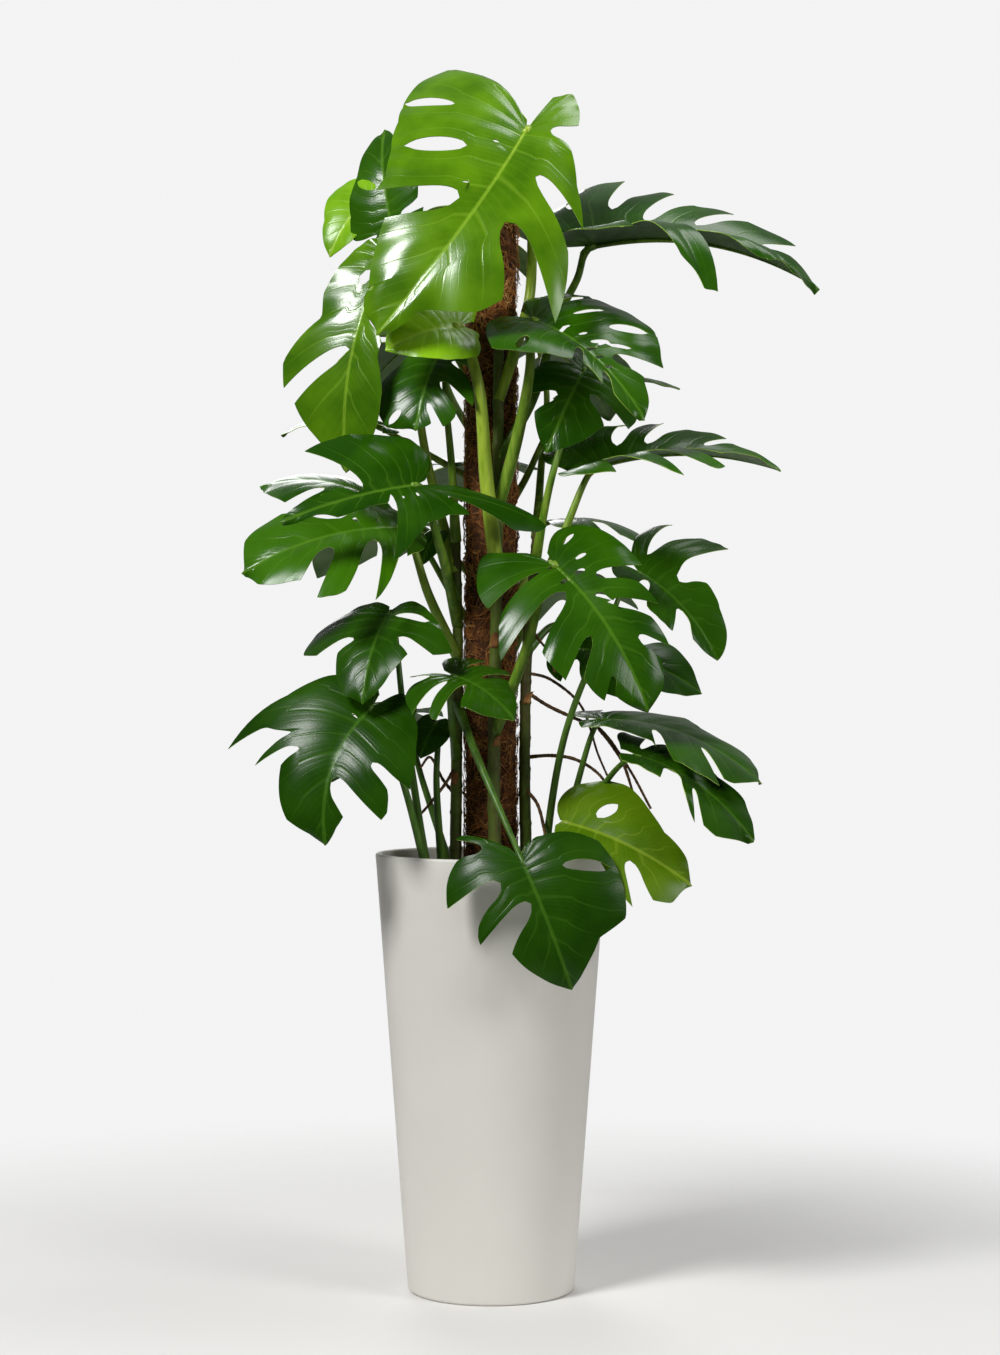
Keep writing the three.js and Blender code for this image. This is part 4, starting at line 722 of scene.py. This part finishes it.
def ring_faces(rings, sides):
    """Faces that close a row of rings: its first end, its sides and its last end."""
    faces = [list(range(sides))[::-1]]
    for i in range(rings - 1):
        for k in range(sides):
            a, b = i * sides + k, i * sides + (k + 1) % sides
            faces.append([a, b, b + sides, a + sides])
    faces.append([(rings - 1) * sides + k for k in range(sides)])
    return faces


def tube(line, radius_at, sides, up=(0, 0, 1)):
    """Rings round a line and their faces. radius_at(share, angle) gives the section, which may be grooved."""
    points = []
    normal = np.array(up, float)
    for i, (centre, tangent) in enumerate(zip(line, unit(np.gradient(line, axis=0)))):
        normal = normal - tangent * normal.dot(tangent)
        if np.linalg.norm(normal) < 1e-6:
            normal = np.cross(tangent, (1.0, 0.0, 0.0))
        normal = unit(normal)
        side = np.cross(tangent, normal)
        for k in range(sides):
            angle = 2 * math.pi * k / sides
            radius = radius_at(i / (len(line) - 1), angle)
            points.append(centre + normal * radius * math.cos(angle) + side * radius * math.sin(angle))
    return np.array(points), ring_faces(len(line), sides)


def lathe(profile, sides, wobble=None):
    """A closed turned body from (radius, height) pairs, from its lower middle to its upper middle."""
    points = []
    for radius, height in profile:
        for k in range(sides):
            angle = 2 * math.pi * k / sides
            r = radius + (wobble(angle, height) if wobble else 0)
            points.append((r * math.cos(angle), r * math.sin(angle), height))
    return np.array(points, float), ring_faces(len(profile), sides)


STEM_LINES = {name: smooth_curve(path, 200) for name, (_, path, _) in STEMS.items()}


def start_point(home, where):
    """Where a stalk or root starts: at a height in the middle of a stem, or at a place under the soil."""
    if home == "soil":
        return np.array([*where, SOIL_TOP - DEPTH_IN_SOIL])
    line = STEM_LINES[home]
    return np.array([np.interp(where, line[:, 2], line[:, k]) for k in range(3)])


def stalk_line(leaf):
    """The stalk's middle: it comes up 6 mm behind and under the junction and ends in the start of the midrib."""
    junction, length, along, face, _ = leaf_frame(leaf)
    under = junction - along * 6 - face * 6
    end = place_on_leaf(leaf, [5 / length], [0], 0, -0.8)[0]
    return smooth_curve([start_point(*leaf["start"]), *leaf["via"], under, end], 34)


def stalk_radius(leaf, share, angle):
    """A sheath at the foot, open along its upper side, a slow taper, and a swollen joint under the blade."""
    full = STALK_RADIUS * leaf["stalk"]
    thick, thin = 1.15, 0.7
    foot = max(thick * full, 1.7 * STALK_RADIUS)
    sheathed = 0.25
    if share < sheathed:
        radius = foot + (thick * full - foot) * share / sheathed
    else:
        radius = full * (thick + (thin - thick) * (share - sheathed) / (1 - sheathed))
    channel, channel_width = 0.3 * max(0, 1 - share / 0.5) + 0.1, 0.45
    radius *= 1 - channel * math.exp(-(min(angle, 2 * math.pi - angle) / channel_width) ** 2)
    swelling, joint, joint_length = 0.3, 0.95, 0.025
    return radius * (1 + swelling * math.exp(-((share - joint) / joint_length) ** 2))


def rib_tube(leaf):
    """The midrib as a ridge along the blade, standing out more below than above."""
    widest, thinnest = 0.0125 * leaf_frame(leaf)[1], 0.35
    steps = np.linspace(0, 1, 26)
    shares = np.linspace(0.0, 0.97, 26)
    radii = widest * (1 - shares) ** 0.8 + thinnest
    line = place_on_leaf(leaf, shares, 0 * shares, 0, 0.25 - 0.55 * radii)
    return tube(line, lambda share, angle: np.interp(share, steps, radii) * 0.72, 6)


def plain_mesh(name, points, faces, *materials):
    """A smooth mesh, from millimetres in the shared frame."""
    mesh = bpy.data.meshes.new(name)
    mesh.from_pydata((np.asarray(points) * MM).tolist(), [], faces)
    for material in materials:
        mesh.materials.append(material)
    mesh.polygons.foreach_set("use_smooth", [True] * len(faces))
    mesh.update()
    return mesh


def stand_in(piece, node):
    """Sets a piece in place of a CAD node."""
    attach(piece, "root")
    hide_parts(node)


def make_leaf(leaf, seed):
    points, faces, skins, veins, sharp = blade_mesh(leaf, seed)
    stalk = tube(stalk_line(leaf), lambda share, angle: stalk_radius(leaf, share, angle), 12)
    for more_points, more_faces in (stalk, rib_tube(leaf)):
        faces += [[c + len(points) for c in face] for face in more_faces]
        skins += [3] * len(more_faces)
        veins += [np.zeros((len(face), 4)) for face in more_faces]
        points = np.concatenate([points, more_points])
    age = leaf["age"]
    skin = leaf.get("skin", age)
    mesh = plain_mesh(leaf["name"] + "_look", points, faces,
                      LEAF_SKINS[skin], UNDERSIDES[skin], MARGIN_GLOW, STALKS[age])
    mesh.polygons.foreach_set("material_index", skins)
    veins = np.concatenate(veins).astype(np.float32)
    mesh.uv_layers.new(name="vein_run").data.foreach_set("uv", veins[:, :2].ravel())
    mesh.uv_layers.new(name="vein_room").data.foreach_set("uv", veins[:, 2:].ravel())
    # Each leaf's tone, which all of its materials read: partly its own colour, partly painted shade and painted
    # light
    tone_and_shade = mesh.attributes.new("leaf_tone_and_shade", "FLOAT", "POINT")
    tone_and_shade.data.foreach_set("value", np.full(len(points), leaf["tone_and_shade"], np.float32))
    crease = mesh.attributes.new("sharp_edge", "BOOLEAN", "EDGE")
    ends = np.zeros(len(mesh.edges) * 2, int)
    mesh.edges.foreach_get("vertices", ends)
    pairs = ends.reshape(-1, 2).tolist()
    crease.data.foreach_set("value", [(p, q) in sharp or (q, p) in sharp for p, q in pairs])
    mesh.update()
    mesh.validate()
    stand_in(place_object(mesh.name, mesh), leaf["name"])


for number, measured in enumerate(LEAVES):
    make_leaf(measured, 100 + number)


# Coir pole: a rough core, wrapped in loose fibres
def node_tree(name, sizes):
    """A new geometry tree with a geometry input and output, and a named input for each size."""
    tree = bpy.data.node_groups.new(name, "GeometryNodeTree")
    for label, kind in [("Geometry", "Geometry"), *sizes]:
        tree.interface.new_socket(label, in_out="INPUT", socket_type="NodeSocket" + kind)
    tree.interface.new_socket("Geometry", in_out="OUTPUT", socket_type="NodeSocketGeometry")
    return tree, tree.nodes.new("NodeGroupInput").outputs


def finished(tree, grown, finish):
    """Ends a geometry tree: its instances made real, and its material set."""
    plain = add(tree, "GeometryNodeRealizeInstances", [grown])
    dressed = add(tree, "GeometryNodeSetMaterial", {"Geometry": plain, "Material": finish})
    add(tree, "NodeGroupOutput", {"Geometry": dressed})
    return tree


def grow(mesh, tree, values):
    """The plain mesh that a geometry tree grows on a base mesh."""
    base = place_object(mesh.name, mesh)
    modifier = base.modifiers.new(tree.name, "NODES")
    modifier.node_group = tree
    for item in tree.interface.items_tree:
        if item.in_out == "INPUT" and item.name in values:
            modifier[item.identifier] = values[item.name]
    grown = bpy.data.meshes.new_from_object(base.evaluated_get(bpy.context.evaluated_depsgraph_get()))
    base.modifiers.remove(modifier)
    bpy.data.objects.remove(base)
    return grown


def coir_fibre_tree():
    tree, given = node_tree("coir_fibres", [
        ("Fibres per m2", "Float"), ("Fibre Length", "Float"), ("Fibre Radius", "Float"),
        ("Pole Radius", "Float"), ("Looseness", "Float"), ("Seed", "Int"), ("Finish", "Material")])
    spots = add(tree, "GeometryNodeDistributePointsOnFaces", {
        "Mesh": given["Geometry"], "Density": given["Fibres per m2"], "Seed": given["Seed"]})
    line = add(tree, "GeometryNodeCurvePrimitiveLine", {"Start": (-0.5, 0, 0), "End": (0.5, 0, 0)})
    line = add(tree, "GeometryNodeResampleCurve", {"Curve": line, "Count": 7})
    tilt = add(tree, "FunctionNodeAlignRotationToVector", {"Vector": spots.outputs["Normal"]}, axis="Z")
    spin = add(tree, "FunctionNodeRandomValue", {"Max": (0, 0, math.pi), "Seed": given["Seed"]},
               data_type="FLOAT_VECTOR")
    spin = add(tree, "FunctionNodeEulerToRotation", [spin])
    turned = add(tree, "FunctionNodeRotateRotation", [tilt, spin], rotation_space="LOCAL")
    size = add(tree, "FunctionNodeRandomValue", {"Min": 0.5, "Max": 1.3, "Seed": given["Seed"]})
    size = add(tree, "ShaderNodeMath", [size, given["Fibre Length"]], operation="MULTIPLY")
    laid = add(tree, "GeometryNodeInstanceOnPoints", {
        "Points": spots, "Instance": line, "Rotation": turned, "Scale": size})
    laid = add(tree, "GeometryNodeRealizeInstances", [laid])
    # Tangle the fibres, then lay them round the pole, a little loose
    place = add(tree, "GeometryNodeInputPosition")
    tangle = add(tree, "ShaderNodeTexNoise", {"Vector": place, "Scale": 38.0, "Detail": 2.0}).outputs["Color"]
    tangle = add(tree, "ShaderNodeVectorMath", [tangle, (0.5, 0.5, 0.5)], operation="SUBTRACT")
    tangle = add(tree, "ShaderNodeVectorMath", {0: tangle, "Scale": 0.05}, operation="SCALE")
    loose = add(tree, "GeometryNodeSetPosition", {"Geometry": laid, "Offset": tangle})
    level = add(tree, "ShaderNodeVectorMath", [place, (1, 1, 0)], operation="MULTIPLY")
    away = add(tree, "ShaderNodeVectorMath", [level], operation="LENGTH")
    lift = add(tree, "ShaderNodeTexNoise", {"Vector": place, "Scale": 70.0, "Detail": 1.0})
    lift = add(tree, "ShaderNodeMath", [lift, 2.5], operation="POWER")
    lift = add(tree, "ShaderNodeMath", [lift, given["Looseness"]], operation="MULTIPLY")
    target = add(tree, "ShaderNodeMath", [given["Pole Radius"], lift], operation="ADD")
    ratio = add(tree, "ShaderNodeMath", [target, away], operation="DIVIDE")
    ratio = add(tree, "ShaderNodeMath", [ratio, 1.0], operation="MINIMUM")
    ratio = add(tree, "ShaderNodeCombineXYZ", [ratio, ratio, 1.0])
    wrapped = add(tree, "ShaderNodeVectorMath", [place, ratio], operation="MULTIPLY")
    laid = add(tree, "GeometryNodeSetPosition", {"Geometry": loose, "Position": wrapped})
    section = add(tree, "GeometryNodeCurvePrimitiveCircle", {"Resolution": 3, "Radius": given["Fibre Radius"]})
    fibres = add(tree, "GeometryNodeCurveToMesh", {"Curve": laid, "Profile Curve": section, "Fill Caps": True})
    return finished(tree, fibres, given["Finish"])


def soil_crumb_tree():
    tree, given = node_tree("soil_crumbs", [
        ("Crumbs per m2", "Float"), ("Crumb Size", "Float"), ("Seed", "Int"), ("Finish", "Material")])
    facing = add(tree, "ShaderNodeSeparateXYZ", [add(tree, "GeometryNodeInputNormal")])
    upward = add(tree, "FunctionNodeCompare", [facing.outputs["Z"], 0.7], operation="GREATER_THAN")
    spots = add(tree, "GeometryNodeDistributePointsOnFaces", {
        "Mesh": given["Geometry"], "Selection": upward, "Density": given["Crumbs per m2"], "Seed": given["Seed"]})
    ball = add(tree, "GeometryNodeMeshIcoSphere", {"Radius": 0.5, "Subdivisions": 1})
    spin = add(tree, "FunctionNodeRandomValue", {"Max": (6.28, 6.28, 6.28), "Seed": given["Seed"]},
               data_type="FLOAT_VECTOR")
    spin = add(tree, "FunctionNodeEulerToRotation", [spin])
    size = add(tree, "FunctionNodeRandomValue", {
        "Min": (0.4, 0.5, 0.3), "Max": (1.5, 1.1, 0.8), "Seed": given["Seed"]}, data_type="FLOAT_VECTOR")
    size = add(tree, "ShaderNodeVectorMath", {0: size, "Scale": given["Crumb Size"]}, operation="SCALE")
    laid = add(tree, "GeometryNodeInstanceOnPoints", {
        "Points": spots, "Instance": ball, "Rotation": spin, "Scale": size})
    plain = add(tree, "GeometryNodeRealizeInstances", [laid])
    place = add(tree, "GeometryNodeInputPosition")
    dent = add(tree, "ShaderNodeTexNoise", {"Vector": place, "Scale": 260.0, "Detail": 1.0}).outputs["Color"]
    dent = add(tree, "ShaderNodeVectorMath", [dent, (0.5, 0.5, 0.5)], operation="SUBTRACT")
    dent = add(tree, "ShaderNodeVectorMath", {0: dent, "Scale": 0.006}, operation="SCALE")
    rough = add(tree, "GeometryNodeSetPosition", {"Geometry": plain, "Offset": dent})
    return finished(tree, rough, given["Finish"])


def coarse_matter(name, dark, middle, light, scale, roughness, depth, stretch=(1.0, 1.0, 1.0)):
    """Dry brown matter, such as coir, bark or soil: three tones in patches, rough and bumpy."""
    material, tree, place = new_material(name)
    place = add(tree, "ShaderNodeMapping", {"Vector": place, "Scale": stretch})
    patches = add(tree, "ShaderNodeTexNoise", {"Vector": place, "Scale": scale, "Detail": 5.0, "Roughness": 0.65})
    tones = add(tree, "ShaderNodeValToRGB", [patches])
    ramp = tones.color_ramp
    ramp.elements[0].position, ramp.elements[0].color = 0.34, linear(dark)
    ramp.elements[1].position, ramp.elements[1].color = 0.68, linear(light)
    ramp.elements.new(0.5).color = linear(middle)
    grain = add(tree, "ShaderNodeTexNoise", {"Vector": place, "Scale": scale * 5, "Detail": 3.0})
    wear = add(tree, "ShaderNodeMapRange", [grain, 0.0, 1.0, roughness - 0.1, min(1.0, roughness + 0.08)])
    surface(tree, tones, wear, grain, depth * MM, ior=1.45)
    return material


# Coir husk fibre: reddish brown strands, each a little different, over a nearly black core
COIR_FIBRE = coarse_matter("coir_fibre", "#82481f", "#b8783a", "#e0ab62", 55.0, 0.82, 0.3)
COIR_CORE = coarse_matter("coir_core", "#2c1809", "#5e3818", "#8e5c2c", 120.0, 0.92, 1.6)
# Moist potting soil with bark crumbs
SOIL = coarse_matter("potting_soil", "#150e09", "#2c1d13", "#4e3622", 70.0, 0.9, 1.2)
CRUMBS = coarse_matter("soil_crumbs", "#1c120b", "#3a2717", "#6d4c2f", 45.0, 0.88, 0.6)
# Climbing stem: green rind going corky and brown in patches
STEM_RIND = coarse_matter("stem_rind", "#4a3a20", "#55651f", "#6f8530", 26.0, 0.55, 0.5, (1.0, 1.0, 0.35))
# Remains of old leaf sheaths: brown paper, streaked along
DRY_SHEATH = coarse_matter("dry_leaf_sheath", "#5c3418", "#9a6634", "#c8985a", 60.0, 0.7, 0.3, (1.0, 1.0, 0.3))
# Aerial root: dry brown cork skin
ROOT_SKIN = coarse_matter("aerial_root_skin", "#3c2816", "#644627", "#8a6840", 60.0, 0.75, 0.5)


def join_pieces(name, parts):
    """Joins meshes of their own materials into one mesh object at the origin."""
    made = [place_object(name, mesh) for mesh in parts]
    with bpy.context.temp_override(active_object=made[0], object=made[0], selected_objects=made,
                                   selected_editable_objects=made):
        bpy.ops.object.join()
    return made[0]


def make_pole():
    low = SOIL_TOP - 30
    rough = random.Random(7)
    dents = [[rough.uniform(-1.2, 0.2) for _ in range(60)] for _ in range(200)]
    profile = [(0.01, low)] + [(POLE_RADIUS - 1.2, z) for z in np.linspace(low, POLE_TOP - 4, 150)]
    profile += [(POLE_RADIUS - 3.5, POLE_TOP - 1.5), (0.6 * POLE_RADIUS, POLE_TOP - 1.2), (0.01, POLE_TOP - 1)]
    body = lathe(profile, 60, lambda angle, z: dents[int(z / 6) % 200][int(angle * 9.54) % 60])
    wrap = lathe([(0.01, SOIL_TOP), (POLE_RADIUS - 0.5, SOIL_TOP),
                  (POLE_RADIUS - 0.5, POLE_TOP - 2), (0.01, POLE_TOP - 2)], 40)
    core = plain_mesh("coir_core", *body, COIR_CORE)
    fibres = grow(plain_mesh("coir_wrap", *wrap, COIR_CORE), coir_fibre_tree(), {
        "Fibres per m2": 20000.0, "Fibre Length": 48 * MM, "Fibre Radius": 0.42 * MM,
        "Pole Radius": (POLE_RADIUS - 0.4) * MM, "Looseness": 9 * MM, "Seed": 3, "Finish": COIR_FIBRE})
    stand_in(join_pieces("coir_pole_look", [core, fibres]), "coir_pole")


def pot_outside(z):
    return POT_BASE_RADIUS + (POT_RIM_RADIUS - POT_BASE_RADIUS) * z / POT_HEIGHT


def make_soil():
    clearance, mound = 0.6, 6
    wall = pot_outside(SOIL_TOP) - POT_WALL - clearance
    low_wall = POT_BASE_RADIUS - POT_WALL
    profile = [(0.01, POT_FLOOR + 1), (low_wall, POT_FLOOR + 1), (wall - 0.4, SOIL_TOP - 6), (wall, SOIL_TOP)]
    profile += [(wall * r, SOIL_TOP + mound * min(1, (1 - r) / 0.4)) for r in np.linspace(0.98, 0.02, 22)]
    points, faces = lathe(profile, 72)
    rough = random.Random(11)
    top = points[:, 2] > SOIL_TOP + 0.5
    points[top, 2] += [rough.uniform(-2.2, 0.0) for _ in range(int(top.sum()))]
    body = plain_mesh("soil_body", points, faces, SOIL)
    crumbs = grow(body.copy(), soil_crumb_tree(), {
        "Crumbs per m2": 42000.0, "Crumb Size": 6 * MM, "Seed": 5, "Finish": CRUMBS})
    stand_in(join_pieces("soil_look", [body, crumbs]), "soil")


def dry_scrap(name, height, angle, long, wide):
    """The papery remains of an old leaf sheath: a thin curled strip that peels off a stem."""
    rows, columns = 9, 6
    stem_skin, peel, half_thickness = 8.4, 9, 0.25
    foot = start_point(name, height)
    points = []
    for skin in (half_thickness, -half_thickness):
        for f in np.linspace(0, 1, rows):
            for g in np.linspace(-1, 1, columns):
                off = wide * g * (1 - 0.7 * f ** 2) * (1 + 0.1 * math.sin(9 * f + 4 * g))
                out = stem_skin + peel * f ** 2 - off ** 2 / 20 + skin
                turn = angle + 0.5 * f
                points.append(foot + (out * math.cos(turn) - off * math.sin(turn),
                                      out * math.sin(turn) + off * math.cos(turn), long * (f - 0.35 * f ** 3)))
    count = rows * columns
    faces = []
    for i in range(rows - 1):
        for k in range(columns - 1):
            a = i * columns + k
            square = [a, a + 1, a + 1 + columns, a + columns]
            faces += [square, [c + count for c in reversed(square)]]
    last = (rows - 1) * columns
    edge = [*range(columns), *range(2 * columns - 1, count, columns), *range(count - 2, last - 1, -1),
            *range(last - columns, 0, -columns)]
    faces += [[p, p + count, q + count, q] for p, q in zip(edge, edge[1:] + edge[:1])]
    return np.array(points), faces


def make_stem(name):
    radius, _, scraps = STEMS[name]
    rng = random.Random(len(name) * 13)
    joints = np.cumsum([rng.uniform(0.045, 0.085) for _ in range(22)])
    patches = [rng.uniform(-0.05, 0.05) for _ in range(400)]

    def section(share, angle):
        ring = max(math.exp(-((share - joint) / 0.004) ** 2) for joint in joints)
        dent = patches[int(share * 40) * 9 % 400]
        return radius * (1 - STEM_TAPER * share) * (0.97 + 0.14 * ring + dent * math.cos(angle + 9 * share))

    parts = [plain_mesh(f"stem_{name}_rind", *tube(STEM_LINES[name], section, 16, (0, 1, 0)), STEM_RIND)]
    parts += [plain_mesh(f"stem_{name}_scrap", *dry_scrap(name, *scrap), DRY_SHEATH) for scrap in scraps]
    stand_in(join_pieces(f"stem_{name}_look", parts), f"stem_{name}")


def make_root(name, start, radius, run, branch):
    name = "aerial_root_" + name
    rng = random.Random(name)
    bumps = [rng.uniform(-0.1, 0.14) for _ in range(90)]

    def section(share, angle):
        return radius * (1 - ROOT_TAPER * share) * (1 + bumps[int(share * 89)])

    lines = [smooth_curve([start_point(*start), *run], 90)]
    if branch:
        lines.append(smooth_curve(branch, 60))
    parts = [plain_mesh(name, *tube(line, section, 9, (0, 1, 0)), ROOT_SKIN) for line in lines]
    stand_in(join_pieces(name + "_look", parts), name)


def pale_finish(name, dark, light, cloud_scale, detail):
    """A pale finish with hardly any cloud in it: its material, node tree, place, cloud and colour."""
    material, tree, place = new_material(name)
    cloud = add(tree, "ShaderNodeTexNoise", {"Vector": place, "Scale": cloud_scale, "Detail": detail})
    colour = add(tree, "ShaderNodeMix", {"Factor": cloud, "A": linear(dark), "B": linear(light)}, data_type="RGBA")
    return material, tree, place, cloud, colour


def matte_planter():
    """Moulded polypropylene with a matte, finely grained skin, pale stone in colour."""
    material, tree, place, _, colour = pale_finish("matte_planter", "#dedbd3", "#e9e6df", 7.0, 3.0)
    grain = add(tree, "ShaderNodeTexNoise", {"Vector": place, "Scale": 900.0, "Detail": 2.0})
    wear = add(tree, "ShaderNodeMapRange", [grain, 0.0, 1.0, 0.48, 0.6])
    surface(tree, colour, wear, grain, 0.12 * MM, ior=1.49)
    return material


def make_planter():
    def inside(z):
        return pot_outside(z) - POT_WALL

    arcs = np.linspace(0, math.pi / 2, 6)
    foot, rim = 5.0, 3.2
    profile = [(0.01, 0), (0.6 * POT_BASE_RADIUS, 0)]
    profile += [(pot_outside(0) - foot + foot * math.sin(a), foot - foot * math.cos(a)) for a in arcs]
    profile += [(pot_outside(z), z) for z in np.linspace(30, POT_HEIGHT - 20, 14)]
    profile += [(pot_outside(POT_HEIGHT) - rim + rim * math.cos(a), POT_HEIGHT - rim + rim * math.sin(a))
                for a in arcs]
    profile += [(inside(POT_HEIGHT) + rim - rim * math.sin(a), POT_HEIGHT - rim + rim * math.cos(a))
                for a in arcs]
    profile += [(inside(z), z) for z in (POT_HEIGHT - 20, SOIL_TOP, 300, 120, POT_FLOOR + 4)]
    profile += [(inside(POT_FLOOR) - 4, POT_FLOOR), (0.01, POT_FLOOR)]
    mesh = plain_mesh("planter_skin", *lathe(profile, 128), matte_planter())
    stand_in(place_object("planter_look", mesh), "planter")


make_pole()
make_soil()
for stem_name in STEMS:
    make_stem(stem_name)
for root in AERIAL_ROOTS:
    make_root(*root)
make_planter()


# Plain pale floor, which melts into the pale room a little way off
def pale_floor():
    """Matte off-white painted floor."""
    material, tree, place, cloud, colour = pale_finish("pale_floor", "#e6e5e2", "#ebeae8", 2.0, 2.0)
    wear = add(tree, "ShaderNodeMapRange", [cloud, 0.0, 1.0, 0.7, 0.8])
    paint = surface(tree, colour, wear, cloud, 0.05 * MM)
    away = add(tree, "ShaderNodeVectorMath", [place], operation="LENGTH")
    faded = add(tree, "ShaderNodeMapRange", [away, 0.35, 1.5], interpolation_type="SMOOTHSTEP")
    both = add(tree, "ShaderNodeMixShader", [faded, paint, add(tree, "ShaderNodeBsdfTransparent")])
    tree.links.new(both.outputs[0], tree.nodes["Material Output"].inputs["Surface"])
    return material


FLOOR_CORNERS = [(-6000, -6000, 0), (6000, -6000, 0), (6000, 6000, 0), (-6000, 6000, 0)]
place_object("floor", plain_mesh("floor", FLOOR_CORNERS, [[0, 1, 2, 3]], pale_floor()))
